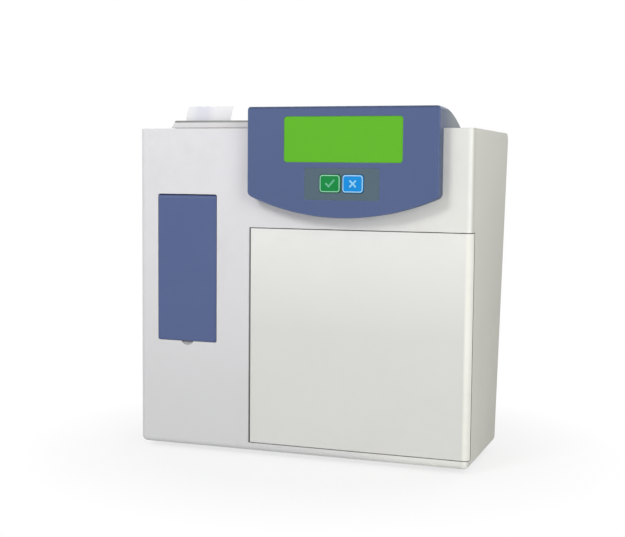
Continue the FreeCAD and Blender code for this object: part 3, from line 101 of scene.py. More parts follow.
def addNoise(tree, place, scale, detail, roughness=0.5, warp=0):
    inputs = {"Vector": place, "Scale": scale, "Detail": detail, "Roughness": roughness,
        "Distortion": warp}
    return addNode(tree, "ShaderNodeTexNoise", inputs).outputs[0]


def startGroup(name, inputs, outputs):
    kinds = {float: "NodeSocketFloat", tuple: "NodeSocketColor", Vector: "NodeSocketVector"}
    group = bpy.data.node_groups.new(name, "ShaderNodeTree")
    for label, value in inputs.items():
        kind = kinds[type(value)]
        socket = group.interface.new_socket(name=label, in_out="INPUT", socket_type=kind)
        socket.default_value = value
    for label, kind in outputs.items():
        group.interface.new_socket(name=label, in_out="OUTPUT", socket_type=kinds[kind])
    given = group.nodes.new("NodeGroupInput").outputs
    result = group.nodes.new("NodeGroupOutput").inputs
    return group, given, result


def objectPlace(tree):
    return tree.nodes.new("ShaderNodeTexCoord").outputs["Object"]


def startTint(name, second, output, **more):
    # a group that lays a second colour over the first
    inputs = {"Color": plainGrey, second: plainGrey, "Amount": 0.2, **more}
    return startGroup(name, inputs, {"Color": tuple, **output})


def layOver(group, given, result, mask, second, output=None):
    # the second colour over the first by a mask, which is given out too where it's named
    if output:
        group.links.new(mask, result[output])
    factor = addMath(group, "MULTIPLY", mask, given["Amount"])
    group.links.new(addMix(group, factor, given["Color"], given[second]), result["Color"])


# Effects, each a node group that is built once

def makeSoftEdges():
    # a small rounding on every edge, and where those edges are
    group, given, result = startGroup(
        "softEdges", {"Radius": 0.0004}, {"Normal": Vector, "Edge": float})
    bevel = addNode(group, "ShaderNodeBevel", {"Radius": given["Radius"]}, samples=4).outputs[0]
    flat = addNode(group, "ShaderNodeNewGeometry").outputs["Normal"]
    alike = addVectorMath(group, "DOT_PRODUCT", bevel, flat)["Value"]
    group.links.new(bevel, result["Normal"])
    group.links.new(addRange(group, alike, 0.995, 0.90), result["Edge"])
    return group


def makeMouldGrain():
    # fine eroded texture of a mould, with a slow waviness under it
    inputs = {"Size": 0.0006, "Wave": 0.2}
    group, given, result = startGroup("mouldGrain", inputs, {"Height": float})
    place = objectPlace(group)
    fine = addNoise(group, place, addMath(group, "DIVIDE", 1, given["Size"]), 2)
    slow = addNoise(group, place, 28, 1)
    wavy = addMath(group, "MULTIPLY", slow, given["Wave"])
    group.links.new(addMath(group, "ADD", fine, wavy), result["Height"])
    return group


def makeHandlingMarks():
    # faint cloudy marks where hands and cloths have been
    group, given, result = startTint("handlingMarks", "Mark", {"Mask": float})
    place = objectPlace(group)
    cloud = addRange(group, addNoise(group, place, 9, 5, 0.6, 0.6), 0.42, 0.68)
    speck = addRange(group, addNoise(group, place, 85, 4, 0.65), 0.35, 0.70, 0.35, 1)
    layOver(group, given, result, addMath(group, "MULTIPLY", cloud, speck), "Mark", "Mask")
    return group


def makeWornAndLitEdges():
    # edges rubbed to another tone in broken patches; on the console the lighter tone also stands
    # for a painted highlight
    group, given, result = startTint("wornAndLitEdges", "Worn", {}, Edge=0.0)
    noise = addNoise(group, objectPlace(group), 160, 3)
    patch = addRange(group, noise, 0.35, 0.62, 0.25, 1)
    layOver(group, given, result, addMath(group, "MULTIPLY", given["Edge"], patch), "Worn")
    return group


def makeSettledDust():
    # thin dust on what faces up
    group, given, result = startTint("settledDust", "Dust", {"Mask": float})
    coordinates = group.nodes.new("ShaderNodeTexCoord").outputs
    upward = addNode(group, "ShaderNodeSeparateXYZ", {0: coordinates["Normal"]}).outputs["Z"]
    patchy = addNoise(group, coordinates["Object"], 60, 6, 0.7)
    mask = addMath(group, "MULTIPLY", addRange(group, upward, 0.55, 0.95),
        addRange(group, patchy, 0.30, 0.75, 0.3, 1))
    layOver(group, given, result, mask, "Dust", "Mask")
    return group


def makeToneAlong():
    # one tone passes into another between two places along an axis
    inputs = {"Color": plainGrey, "Far": plainGrey, "Axis": acrossX, "From": 0.0, "To": 1.0}
    group, given, result = startGroup("toneAlong", inputs, {"Color": tuple})
    along = addVectorMath(group, "DOT_PRODUCT", objectPlace(group), given["Axis"])["Value"]
    mask = addRange(group, along, given["From"], given["To"])
    group.links.new(addMix(group, mask, given["Color"], given["Far"]), result["Color"])
    return group


def makeDrawnLines():
    # parallel lines of rolled, drawn or turned metal: Stretch is small along the lines
    group, given, result = startTint("drawnLines", "Line", {"Height": float}, Stretch=acrossX)
    stretched = addVectorMath(group, "MULTIPLY", objectPlace(group), given["Stretch"])[0]
    line = addRange(group, addNoise(group, stretched, 1, 3), 0.3, 0.7)
    layOver(group, given, result, line, "Line", "Height")
    return group


effects = {
    "softEdges": makeSoftEdges(), "mouldGrain": makeMouldGrain(), "toneAlong": makeToneAlong(),
    "handlingMarks": makeHandlingMarks(), "wornAndLitEdges": makeWornAndLitEdges(),
    "settledDust": makeSettledDust(), "drawnLines": makeDrawnLines(),
}


def addEffect(tree, name, inputs):
    return addNode(tree, "ShaderNodeGroup", inputs, node_tree=effects[name]).outputs


# Finishes: lengths in millimetres, tones as a screen shows them

mouldBase = {
    "rough": 0.5, "bands": [], "marks": 0.35, "edge": 0.4, "wear": 0.4, "dust": (196, 192, 184),
    "dusty": 0.12, "dustRough": 0.12, "grain": 0.7, "wave": 0.3, "bump": 0.25, "depth": 0.05,
    "smear": -0.08, "gloss": 0.4, "coat": 0, "coatRough": 0.1, "clear": 0, "ior": 1.5,
}
metalBase = {
    "lines": 0.5, "marks": 0.4, "edge": 0.25, "wear": 0.5, "bump": 0.2, "depth": 0.03,
    "smear": 0.15,
}


def startFinish(name):
    material = bpy.data.materials.new(name)
    material.use_nodes = True
    tree = material.node_tree
    return material, tree, tree.nodes["Principled BSDF"]


def addWear(tree, color, look):
    # marks, soft edges and worn edges give a mask, a normal and a colour; on the console the worn
    # edges also paint a highlight
    marks = addEffect(tree, "handlingMarks", {
        "Color": color, "Mark": screenTone(look["mark"]), "Amount": look["marks"]})
    soft = addEffect(tree, "softEdges", {"Radius": look["edge"] * mm})
    worn = addEffect(tree, "wornAndLitEdges", {
        "Color": marks["Color"], "Worn": screenTone(look["worn"]), "Edge": soft["Edge"],
        "Amount": look["wear"]})
    return marks["Mask"], soft["Normal"], worn["Color"]


def fillShader(tree, shader, look, color, rough, height, normal):
    inputs = {"Height": height, "Normal": normal, "Strength": look["bump"],
        "Distance": look["depth"] * mm}
    bumped = addNode(tree, "ShaderNodeBump", inputs).outputs[0]
    for label, source in (("Base Color", color), ("Roughness", rough), ("Normal", bumped)):
        tree.links.new(source, shader.inputs[label])


def moulded(name, look):
    # moulded, painted or rubber surface: tone bands (partly painted light and shade), marks, worn
    # edges and dust over a fine grain
    look = {**mouldBase, **look}
    material, tree, shader = startFinish(name)
    color = screenTone(look["color"])
    for far, axis, low, high in look["bands"]:
        color = addEffect(tree, "toneAlong", {
            "Color": color, "Far": screenTone(far), "Axis": axis, "From": low * mm,
            "To": high * mm})["Color"]
    mask, normal, worn = addWear(tree, color, look)
    dust = addEffect(tree, "settledDust", {
        "Color": worn, "Dust": screenTone(look["dust"]), "Amount": look["dusty"]})
    grain = addEffect(tree, "mouldGrain", {"Size": look["grain"] * mm, "Wave": look["wave"]})
    rough = addMath(tree, "MULTIPLY_ADD", mask, look["smear"], look["rough"])
    rough = addMath(tree, "MULTIPLY_ADD", dust["Mask"], look["dustRough"], rough)
    fillShader(tree, shader, look, dust["Color"], rough, grain["Height"], normal)
    for label, key in (("Specular IOR Level", "gloss"), ("Coat Weight", "coat"), ("IOR", "ior"),
            ("Coat Roughness", "coatRough"), ("Transmission Weight", "clear")):
        shader.inputs[label].default_value = look[key]
    return material


def drawnMetal(name, look):
    # bare or plated metal with its lines, marks and brighter edges
    look = {**metalBase, **look}
    material, tree, shader = startFinish(name)
    lines = addEffect(tree, "drawnLines", {
        "Color": screenTone(look["color"]), "Line": screenTone(look["line"]),
        "Stretch": look["stretch"], "Amount": look["lines"]})
    mask, normal, worn = addWear(tree, lines["Color"], look)
    rough = addMath(tree, "MULTIPLY_ADD", mask, look["smear"], look["rough"])
    fillShader(tree, shader, look, worn, rough, lines["Height"], normal)
    shader.inputs["Metallic"].default_value = 1
    return material


def tones(color, mark, worn, **more):
    return {"color": color, "mark": mark, "worn": worn, **more}


def plainLook(tone, **more):
    mark, worn = [part * 0.92 for part in tone], [(part + 255) / 2 for part in tone]
    return {**tones(tone, mark, worn, rough=0.4, edge=0.15, dusty=0.05), **more}


# Looks by material slot: each band is a far tone, its axis, and where it starts and ends; several
# bands are painted light and shade
looks = {
    # case_white bands: lighter towards the top is painted light from above, warmer towards the
    # right, a painted highlight strip on the rounded front right corner, then painted shade on the
    # right side, darker towards its rear and its bottom
    "case_white": tones((209, 209, 210), (198, 196, 192), (232, 232, 230), edge=0.7, marks=0.25,
        gloss=0.3, bands=[((224, 223, 227), upZ, 60, 320),
        ((226, 226, 221), acrossX, -10, 140), ((241, 241, 236), acrossX, 168, 171.5),
        ((196, 196, 185), acrossX, 172.3, 174.4),
        ((176, 176, 166), Vector((1, 0.012, 0)), 174.2, 176.1),
        ((218, 218, 210), Vector((1, 0, 0.006)), 175.5, 179)]),
    # console_blue: a painted shade line along the top front edge; its light worn edges, raised
    # here, also stand for a painted highlight; darker on the side strip behind the front plate and
    # grey-blue towards the rear of the hump
    "console_blue": tones((79, 94, 134), (87, 101, 140), (138, 155, 184), edge=0.7, wear=0.8,
        marks=0.4, dusty=0.03, gloss=0.25,
        bands=[((50, 64, 96), Vector((0, -0.6, 0.8)), 336.7, 337.8),
        ((82, 94, 121), acrossY, -92.9, -92.2), ((134, 142, 144), acrossY, -79, -36)]),
    "flap_blue": tones((82, 96, 138), (90, 104, 145), (108, 122, 159), edge=0.5, wear=0.5,
        marks=0.4, dusty=0.03, gloss=0.25, bands=[((80, 93, 132), acrossX, -92.5, -90)]),
    "display_green": tones((92, 177, 28), (98, 181, 38), (120, 196, 70), rough=0.32, edge=0.3,
        coat=0.15, coatRough=0.08, grain=0.5, depth=0.01, dusty=0, marks=0.4, gloss=0.2),
    "overlay_grey": tones((80, 99, 111), (87, 106, 118), (116, 132, 139), rough=0.55, edge=0.3,
        grain=0.35, depth=0.03, dusty=0.03, gloss=0.25),
    "key_green": tones((6, 130, 60), (14, 138, 70), (60, 160, 106), rough=0.42, dusty=0,
        marks=0.4, depth=0.02, gloss=0.2),
    "key_blue": tones((6, 136, 214), (16, 143, 218), (80, 172, 226), rough=0.42, dusty=0,
        marks=0.4, depth=0.02, gloss=0.2),
    "liner_grey": tones((186, 188, 188), (170, 171, 170), (204, 205, 204), rough=0.58, edge=0.6,
        grain=0.9, depth=0.08),
    "module_white": tones((214, 216, 214), (200, 201, 196), (228, 229, 227), rough=0.42,
        grain=0.5),
    "bezel_grey": tones((126, 128, 126), (112, 113, 110), (158, 160, 158),
        bands=[((152, 154, 153), acrossX, -145, -80)]),
    "lid_grey": tones((188, 189, 188), (172, 172, 170), (208, 209, 208), edge=0.5),
    "black_plastic": tones((38, 38, 40), (58, 57, 55), (82, 82, 82), edge=0.3, grain=0.4,
        depth=0.06, dust=(120, 117, 110)),
    "black_rubber": tones((36, 36, 37), (62, 61, 58), (74, 73, 71), rough=0.75, grain=0.5,
        depth=0.08, gloss=0.25, dust=(120, 117, 110)),
    "lever_red": tones((164, 34, 32), (142, 30, 30), (206, 92, 84), rough=0.38, edge=0.5,
        coat=0.2),
    "board_green": tones((28, 104, 62), (38, 118, 74), (150, 140, 84), rough=0.4, edge=0.2,
        coat=0.4),
    "motor_black": tones((46, 47, 49), (64, 64, 64), (128, 128, 128), rough=0.42, edge=0.3),
    "pack_white": tones((222, 223, 222), (208, 208, 202), (234, 234, 232), rough=0.46, edge=1.6,
        wave=1.5),
    "panel_paint": tones((206, 207, 202), (190, 190, 184), (160, 162, 162), rough=0.55, edge=0.3,
        grain=0.9, depth=0.09, wear=0.25),
    "electrode_grey": tones((120, 126, 136), (104, 110, 120), (156, 160, 168), rough=0.4,
        edge=0.5),
    "electrode_clear": tones((218, 226, 229), (204, 212, 216), (236, 240, 242), rough=0.16,
        edge=0.5, clear=0.35, coat=0.4, depth=0.01, ior=1.49),
    "roller_white": tones((222, 221, 214), (204, 203, 196), (234, 234, 230), rough=0.36,
        edge=0.3),
    "silicone": tones((222, 222, 212), (206, 205, 194), (230, 230, 222), rough=0.34, edge=0.2,
        clear=0.35, ior=1.41, depth=0.01),
    # paper bands: painted shade, darker and bluer across the middle of the sheet
    "paper": tones((240, 240, 243), (230, 229, 228), (246, 246, 246), rough=0.7, edge=0.02,
        grain=0.25, depth=0.02, gloss=0.2, bands=[((225, 225, 235), acrossX, -128, -118),
        ((240, 240, 243), acrossX, -108, -100)]),
    "zinc_steel": tones((186, 189, 190), (146, 148, 148), (214, 216, 217), line=(160, 164, 166),
        rough=0.36, stretch=Vector((24, 24, 900))),
    "pin_steel": tones((190, 191, 192), (142, 142, 140), (222, 223, 224), line=(166, 167, 168),
        rough=0.24, stretch=Vector((1800, 60, 60))),
    "screw_steel": tones((178, 179, 178), (132, 131, 126), (214, 214, 212), line=(158, 158, 156),
        rough=0.32, stretch=Vector((500, 500, 500)), lines=0.3),
    "aluminium_fin": tones((194, 196, 199), (150, 151, 153), (222, 223, 225),
        line=(170, 172, 176), rough=0.34, stretch=Vector((20, 700, 700))),
}
ownLooks = {
    # door_panel bands: lighter towards the top is painted light from above, with a painted
    # highlight strip along its rounded right edge
    "door_panel": tones((214, 214, 210), (204, 203, 197), (236, 236, 231), rough=0.48, edge=0.9,
        marks=0.25, gloss=0.35, wear=0.6, bands=[((231, 231, 228), upZ, 130, 228),
        ((240, 240, 231), acrossX, 167.5, 170)]),
    "printer_collar": tones((222, 221, 222), (205, 203, 200), (236, 236, 234), edge=0.8),
}

finishes = {slot: (drawnMetal if "line" in look else moulded)(slot, look)
        for slot, look in looks.items()}
ownFinishes = {node: moulded(node, look) for node, look in ownLooks.items()}

for part in frame["record"]["subparts"]:
    for slot in nodes[part["node"]].material_slots:
        slot.material = ownFinishes.get(part["node"], finishes[part["material_slot"]])
print("finishes built:", len(finishes) + len(ownFinishes))


# Mesh helpers: meshes are drawn in millimetres and placed by a matrix

def skinMesh(rings, ends="face", closed=False):
    # faces between rings of points; closed joins the last ring to the first, and each end
    # is one face, or a strip between the two long sides of a thin ring
    count = len(rings[0])
    points = [point for ring in rings for point in ring]
    faces = []
    for level in range(len(rings) if closed else len(rings) - 1):
        upper = (level + 1) % len(rings)
        for side in range(count):
            after = (side + 1) % count
            faces.append((level * count + side, level * count + after, upper * count + after,
                upper * count + side))
    for first in () if closed else (0, len(points) - count):
        if ends == "face":
            faces.append(tuple(range(first, first + count)))
        else:
            last = first + count - 1
            faces += [(first + side, first + side + 1, last - 1 - side, last - side)
                for side in range(count // 2 - 1)]
    mesh = bpy.data.meshes.new("mesh")
    mesh.from_pydata(points, [], faces)
    work = bmesh.new()
    work.from_mesh(mesh)
    bmesh.ops.remove_doubles(work, verts=work.verts, dist=1e-5)
    bmesh.ops.recalc_face_normals(work, faces=work.faces)
    work.to_mesh(mesh)
    work.free()
    return mesh


def turnedMesh(profile, steps=40, closed=False):
    # (radius, height) pairs turned about the upright axis
    turns = [2 * pi * step / steps for step in range(steps)]
    rings = [[(radius * cos(turn), radius * sin(turn), height) for turn in turns]
        for radius, height in profile]
    return skinMesh(rings, closed=closed)


def ringMesh(profile, steps=48):
    # a closed profile, so the middle stays open
    return turnedMesh(profile, steps, True)


def rodMesh(radius, low, high, steps=32):
    return turnedMesh([(0, low), (radius, low), (radius, high), (0, high)], steps)


def ribbedMesh(profile, ribs, bite, plainRadius=3):
    # turned body whose wall is fluted from rib to rib outside the plain radius
    rings = []
    for radius, height in profile:
        ring = []
        for step in range(ribs * 4):
            turn = 2 * pi * step / (ribs * 4)
            reach = radius - bite * (radius > plainRadius) * (step % 4 == 2)
            ring.append((reach * cos(turn), reach * sin(turn), height))
        rings.append(ring)
    return skinMesh(rings)


def shares(steps):
    # even steps from 0 to 1
    return [step / steps for step in range(steps + 1)]


def roundOutline(width, height, radius, steps=6):
    # rectangle with round corners about the origin
    points = []
    for quarter, (sideX, sideY) in enumerate(((1, 1), (-1, 1), (-1, -1), (1, -1))):
        for share in shares(steps):
            turn = pi / 2 * (quarter + share)
            points.append((sideX * (width / 2 - radius) + radius * cos(turn),
                sideY * (height / 2 - radius) + radius * sin(turn)))
    return points


def slabMesh(width, height, corner, profile, steps=6):
    # rounded block built up from (inset, level) pairs
    rings = []
    for inset, level in profile:
        radius = max(corner - inset, 0.05)
        outline = roundOutline(width - 2 * inset, height - 2 * inset, radius, steps)
        rings.append([(x, y, level) for x, y in outline])
    return skinMesh(rings)


def prismMesh(outline, low, high):
    return skinMesh([[(x, y, level) for x, y in outline] for level in (low, high)])


def softProfile(thickness, soften, steps=4):
    # (inset, level) pairs of a slab whose upper edge is rounded
    pairs = [(0, 0)]
    for share in shares(steps):
        turn = pi / 2 * share
        pairs.append((soften * (1 - cos(turn)), thickness - soften + soften * sin(turn)))
    return pairs


def linkObject(name, data):
    item = bpy.data.objects.new(name, data)
    bpy.context.scene.collection.objects.link(item)
    return item


def evaluatedMesh(item):
    return bpy.data.meshes.new_from_object(
        item.evaluated_get(bpy.context.evaluated_depsgraph_get()))


def cutMesh(mesh, tool):
    host, cutter = linkObject("host", mesh), linkObject("cutter", tool)
    modifier = host.modifiers.new("cut", "BOOLEAN")
    modifier.object = cutter
    modifier.solver = "EXACT"
    result = evaluatedMesh(host)
    for helper in (host, cutter):
        bpy.data.objects.remove(helper)
    return result


def joinMeshes(meshes):
    work = bmesh.new()
    for mesh in meshes:
        work.from_mesh(mesh)
    joined = bpy.data.meshes.new("joined")
    work.to_mesh(joined)
    work.free()
    return joined


def moved(mesh, x, y, z):
    mesh.transform(Matrix.Translation((x, y, z)))
    return mesh


def upright(x=0, y=0, z=0):
    # millimetre axes at a place, along the frame's own
    return Matrix.Translation((x * mm, y * mm, z * mm)) @ Matrix.Scale(mm, 4)


def facing(at, outward, up=upZ):
    # millimetre axes at a place: across, up and outward
    outward = Vector(outward).normalized()
    across = Vector(up).cross(outward).normalized()
    turn = Matrix((across, outward.cross(across), outward)).transposed().to_4x4()
    return Matrix.Translation(Vector(at) * mm) @ turn @ Matrix.Scale(mm, 4)


def addPiece(name, mesh, place, slot, body="case", finish=None, angle=35, node=None):
    # a piece that rides a body, and stands for a solid where a node is given
    mesh.name = name
    mesh.transform(place)
    if place.determinant() < 0:
        mesh.flip_normals()
    mesh.materials.clear()
    mesh.materials.append(finishes.get(finish or slot, finish))
    mesh.shade_smooth()
    mesh.set_sharp_from_angle(angle=radians(angle))
    piece = linkObject(name, mesh)
    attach(piece, body)
    if node:
        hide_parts(node)


front = (0, -1, 0)

# the rear panel leans out from its lower edge
rearPanel = {"lowY": 53.73, "topY": 96.73, "lowZ": 5, "height": 327}
rearLean = atan2(rearPanel["topY"] - rearPanel["lowY"], rearPanel["height"])
rearOut = (0, cos(rearLean), -sin(rearLean))
rearUp = (0, sin(rearLean), cos(rearLean))


def onRear(x, out, rise):
    # a place on the rear panel, rise along it and out from it
    return (x, rearPanel["lowY"] + rise * sin(rearLean) + out * cos(rearLean),
        rearPanel["lowZ"] + rise * cos(rearLean) - out * sin(rearLean))


# Keys with their marks and light border lines

keySize = {
    "width": 21.2, "height": 17.4, "corner": 3, "soften": 0.9, "frontY": -95.47, "z": 278.3,
    "depth": 4.2, "print": 0.12, "sunk": 0.1, "stroke": 1.7, "border": 0.45, "grain": 0.3,
    "line": ((0, -0.52), (0, -0.08), (0.2, 0), (0.95, 0), (0.95, -0.52)),
}
keys = [
    {"name": "yesKey", "x": 37.3, "slot": "key_green", "body": "yes_button", "node": "yes_key",
     "tone": (96, 178, 138), "lineTone": (140, 205, 172),
     "strokes": [(0, [(-4.2, 0.4), (-1.2, -2.8), (4.6, 3.6)])]},
    {"name": "noKey", "x": 60.5, "slot": "key_blue", "body": "no_button", "node": "no_key",
     "tone": (140, 202, 238), "lineTone": (160, 210, 238),
     "strokes": [(0, [(-3.2, -3.2), (0, 0), (3.2, 3.2)]),
        (0.02, [(3.2, -3.2), (0, 0), (-3.2, 3.2)])]},
]


def strokeMesh(points, width, low, high, sharpest=0.3):
    # flat band of constant width along a bent line
    left, right = [], []
    for index, point in enumerate(points):
        before = Vector(points[max(index - 1, 0)])
        after = Vector(points[min(index + 1, len(points) - 1)])
        here = Vector(point)
        into = (here - before).normalized() if here != before else (after - here).normalized()
        away = (after - here).normalized() if here != after else into
        normal = Vector((-into.y - away.y, into.x + away.x)).normalized()
        reach = width / 2 / max(normal.dot(Vector((-into.y, into.x))), sharpest)
        left.append(here + normal * reach)
        right.append(here - normal * reach)
    return prismMesh(left + right[::-1], low, high)


def makeKeys():
    size = keySize
    top = size["depth"] - size["print"]
    for key in keys:
        name, slot, body = key["name"], key["slot"], key["body"]
        place = facing((key["x"], size["frontY"] + size["depth"], size["z"]), front)
        cap = slabMesh(size["width"], size["height"], size["corner"],
            softProfile(top, size["soften"]), steps=8)
        addPiece(name + "Cap", cap, place, slot, body, node=key["node"])
        strokes = [strokeMesh(line, size["stroke"], top - size["sunk"], size["depth"] - drop)
            for drop, line in key["strokes"]]
        tone = moulded(name + "Print", plainLook(key["tone"], grain=size["grain"]))
        addPiece(name + "Mark", joinMeshes(strokes), place, slot, body, tone)
        rings = []
        for inset, level in size["line"]:
            shrink = 2 * (size["border"] + inset)
            outline = roundOutline(size["width"] - shrink, size["height"] - shrink,
                size["corner"] - size["border"] / 2 - inset)
            rings.append([(x, y, size["depth"] + level) for x, y in outline])
        tone = moulded(name + "Line", plainLook(key["lineTone"], grain=size["grain"]))
        addPiece(name + "Line", skinMesh(rings, closed=True), place, slot, body, tone)


# Screws: one pan head mesh with a cross recess, used at every size

screwSize = {
    "head": [(0, -0.3), (1, -0.3), (1, 0.12), (0.93, 0.3), (0.78, 0.44), (0.52, 0.55),
        (0.25, 0.59), (0, 0.6)], "recess": (1.05, 0.22, 0.04), "levels": [(0.05, 0.22), (0, 0.8)],
    "apart": 0.002,
}


def makeScrewHead():
    bar = slabMesh(*screwSize["recess"], screwSize["levels"], steps=2)
    cross = bar.copy()
    cross.transform(Matrix.Rotation(pi / 2, 4, "Z"))
    cross = moved(cross, 0, 0, screwSize["apart"])
    return cutMesh(cutMesh(turnedMesh(screwSize["head"], steps=32), bar), cross)


screwHead = makeScrewHead()


def addScrew(name, at, outward, radius, turn=0, up=upZ, body="case", node=None):
    place = facing(at, outward, up) @ Matrix.Scale(radius, 4)
    place = place @ Matrix.Rotation(radians(turn), 4, "Z")
    addPiece(name, screwHead.copy(), place, "screw_steel", body, angle=28, node=node)


caseScrews = {
    "places": ((-161, 18), (-161, 301.8), (161, 18), (161, 301.8)), "radius": 2.8, "turn": 31,
}


def makeCaseScrews():
    for count, (x, rise) in enumerate(caseScrews["places"], 1):
        addScrew("caseScrew%d" % count, onRear(x, 0, rise), rearOut, caseScrews["radius"],
            caseScrews["turn"] * count, node="case_screws" if count == 1 else None)


# Feet

footSize = {
    "x": {"left": -138, "right": 138}, "y": {"front": -45.27, "rear": 21.73}, "screwZ": 3.4,
    "screw": 2.6, "turn": 20, "profile": [(0, 3.5), (4.5, 3.5), (4.5, 0.6), (4.9, 0.15), (5.4, 0),
        (8.3, 0), (8.8, 0.15), (9.05, 0.6), (9.6, 2.6), (9.6, 2.9), (9.9, 3.4), (10.6, 5.6),
        (11, 7.8), (0, 7.8)],
}


def makeFeet():
    size = footSize
    for side, x in size["x"].items():
        for end, y in size["y"].items():
            name = end + side.capitalize() + "Foot"
            addPiece(name, turnedMesh(size["profile"], steps=48), facing((x, y, 0), upZ, acrossY),
                "black_rubber", node="foot_%s_%s" % (end, side))
            addScrew(name + "Screw", (x, y, size["screwZ"]), -upZ, size["screw"], size["turn"],
                acrossY)


# Scoop behind the finger notch under the flap, grey as painted shade of the recess

scoop = {
    "at": (-121.3, -75.2, 111.6), "outward": (0, -1, 0.42), "width": 15.5, "height": 6.2,
    "corner": 1.5, "thick": 1, "soften": 0.4, "cup": 0.9, "tone": (158, 158, 161),
}


def makeScoop():
    mesh = slabMesh(scoop["width"], scoop["height"], scoop["corner"],
        softProfile(scoop["thick"], scoop["soften"]))
    for point in mesh.vertices:
        point.co.z += scoop["cup"] * (point.co.x / scoop["width"] * 2) ** 2     # ends come forward
    # the grey finish is painted shade of the recess, not the case's own colour
    addPiece("notchScoop", mesh, facing(scoop["at"], scoop["outward"]), "case_white",
        finish=moulded("notchShadeGrey", plainLook(scoop["tone"])))


# Paper roll, its web and the torn end

paperSize = {
    "left": -132, "right": -82, "frontY": -59.27, "mouthZ": 340.5, "topZ": 355.9, "rollY": -9.27,
    "rollZ": 297, "rollRadius": 22, "coreRadius": 6, "coreWall": 1.2, "coreOut": 1, "layers": 24,
    "layer": 0.12, "rim": 0.5, "bend": 9, "bendZ": 321, "straight": 6, "curl": 70, "half": 0.1,
    "cup": 0.35, "skew": 3, "skewPower": 1.3, "columns": 160, "tooth": 1.25, "bite": 0.7,
    "wave": 0.5, "waveTurn": 0.31, "steps": (8, 10, 12),
}


def paperPath():
    # (y, z) points from the roll's underside round the bend and up to the free end
    size = paperSize
    bend, bendZ, frontY, curl = size["bend"], size["bendZ"], size["frontY"], size["curl"]
    webSteps, bendSteps, freeSteps = size["steps"]
    centreY = frontY + bend
    apartY = size["rollY"] - centreY
    apartZ = size["rollZ"] - bendZ
    apart = hypot(apartY, apartZ)
    lean = atan2(apartZ, apartY) - asin((size["rollRadius"] - bend) / apart)
    reach = sqrt(apart ** 2 - (size["rollRadius"] - bend) ** 2)
    startY = centreY + bend * sin(lean)
    startZ = bendZ - bend * cos(lean)
    points = []
    for share in shares(webSteps):
        along = reach * (1 - share)
        points.append((startY + along * cos(lean), startZ + along * sin(lean)))
    for share in shares(bendSteps)[1:]:
        turn = lean - pi / 2 - (lean + pi / 2) * share
        points.append((centreY + bend * cos(turn), bendZ + bend * sin(turn)))
    points.append((frontY, size["mouthZ"] - size["straight"]))
    for share in shares(freeSteps):
        turn = (size["topZ"] - size["mouthZ"]) / curl * share
        points.append((frontY + curl * (1 - cos(turn)), size["mouthZ"] + curl * sin(turn)))
    return points


def paperSheet():
    size = paperSize
    path = paperPath()
    columns = size["columns"]
    left, mouthZ = size["left"], size["mouthZ"]
    width = size["right"] - left
    rings = []
    for index, (y, z) in enumerate(path):
        before, after = path[max(index - 1, 0)], path[min(index + 1, len(path) - 1)]
        along = Vector((after[0] - before[0], after[1] - before[1])).normalized()
        free = max(0, (z - mouthZ) / (size["topZ"] - mouthZ))
        ring = []
        for side in (1, -1):
            for column in range(columns + 1):
                share = column / columns if side == 1 else 1 - column / columns
                x = left + width * share
                drop = 0
                if index == len(path) - 1:
                    phase = (x - left) / size["tooth"] % 1
                    drop = size["bite"] * (1 - abs(2 * phase - 1))
                    drop += size["wave"] * sin(x * size["waveTurn"]) ** 2
                cup = size["cup"] * free * (2 * share - 1) ** 2
                ring.append((x + size["skew"] * free ** size["skewPower"],
                    y - along.y * size["half"] * side - cup - drop * along.x,
                    z + along.x * size["half"] * side - drop * along.y))
        rings.append(ring)
    return skinMesh(rings, ends="strip")


def makePaper():
    size = paperSize
    addPiece("paperWeb", paperSheet(), upright(), "paper", angle=50, node="paper_roll")
    radius, half = size["rollRadius"], (size["right"] - size["left"]) / 2
    inner = size["coreRadius"] + size["coreWall"]
    profile = [(size["coreRadius"], -half - size["coreOut"]), (inner, -half - size["coreOut"]),
        (inner, -half)]
    profile += [(inner + (radius - inner - size["rim"]) * step / size["layers"],
        -half + size["layer"] * (step % 2)) for step in range(size["layers"] + 1)]
    profile.append((radius, -half + size["rim"]))
    profile += [(place, -height) for place, height in profile[::-1]]
    middle = ((size["left"] + size["right"]) / 2, size["rollY"], size["rollZ"])
    addPiece("paperRoll", ringMesh(profile, steps=72), facing(middle, acrossX), "paper")


makeKeys()
makeCaseScrews()
makeFeet()
makeScoop()
makePaper()
print("keys, screws, feet, notch scoop and paper made")


# Tubes: given guide points, with a smooth curve along them

flowY = -15.27
lines = {
    "radius": 1.5, "packRadius": 2, "roundSteps": 5, "alongSteps": 10,
    "sample": [(-32, 169), (-38, 169), (-46, 169), (-46, 160), (-46, 102), (-46, 43), (-46, 34),
        (-37, 34), (-27.9, 34), (-27.9, 41), (-27.9, 47.5)],
    "waste": [(110, 166), (110, 153), (110, 144), (101, 144), (82, 144), (63, 144), (54, 144),
        (54, 135), (54, 90), (54, 43), (54, 34), (45, 34), (25, 34), (15.9, 34), (15.9, 41),
        (15.9, 47.5)],
    "packX": (122, 140), "packZ": (140.7, 148, 156, 166),
    # each guide point of the pump's loop with the reach of its handles
    "pump": [((-27.9, 48.5), (0, 12)), ((-27.9, 88), (0, 12.1)), ((-6, 109.9), (12.1, 0)),
        ((15.9, 88), (0, -12.1)), ((15.9, 48.5), (0, -12))],
}


def tubeCurve(radius):
    curve = bpy.data.curves.new("tube", "CURVE")
    curve.dimensions = "3D"
    curve.bevel_depth = radius
    curve.bevel_resolution = lines["roundSteps"]
    curve.resolution_u = lines["alongSteps"]
    curve.use_fill_caps = True
    return curve


def placeTube(name, curve, node):
    holder = linkObject("tube", curve)
    mesh = evaluatedMesh(holder)
    bpy.data.objects.remove(holder)
    addPiece(name, mesh, upright(), "silicone", angle=60, node=node)


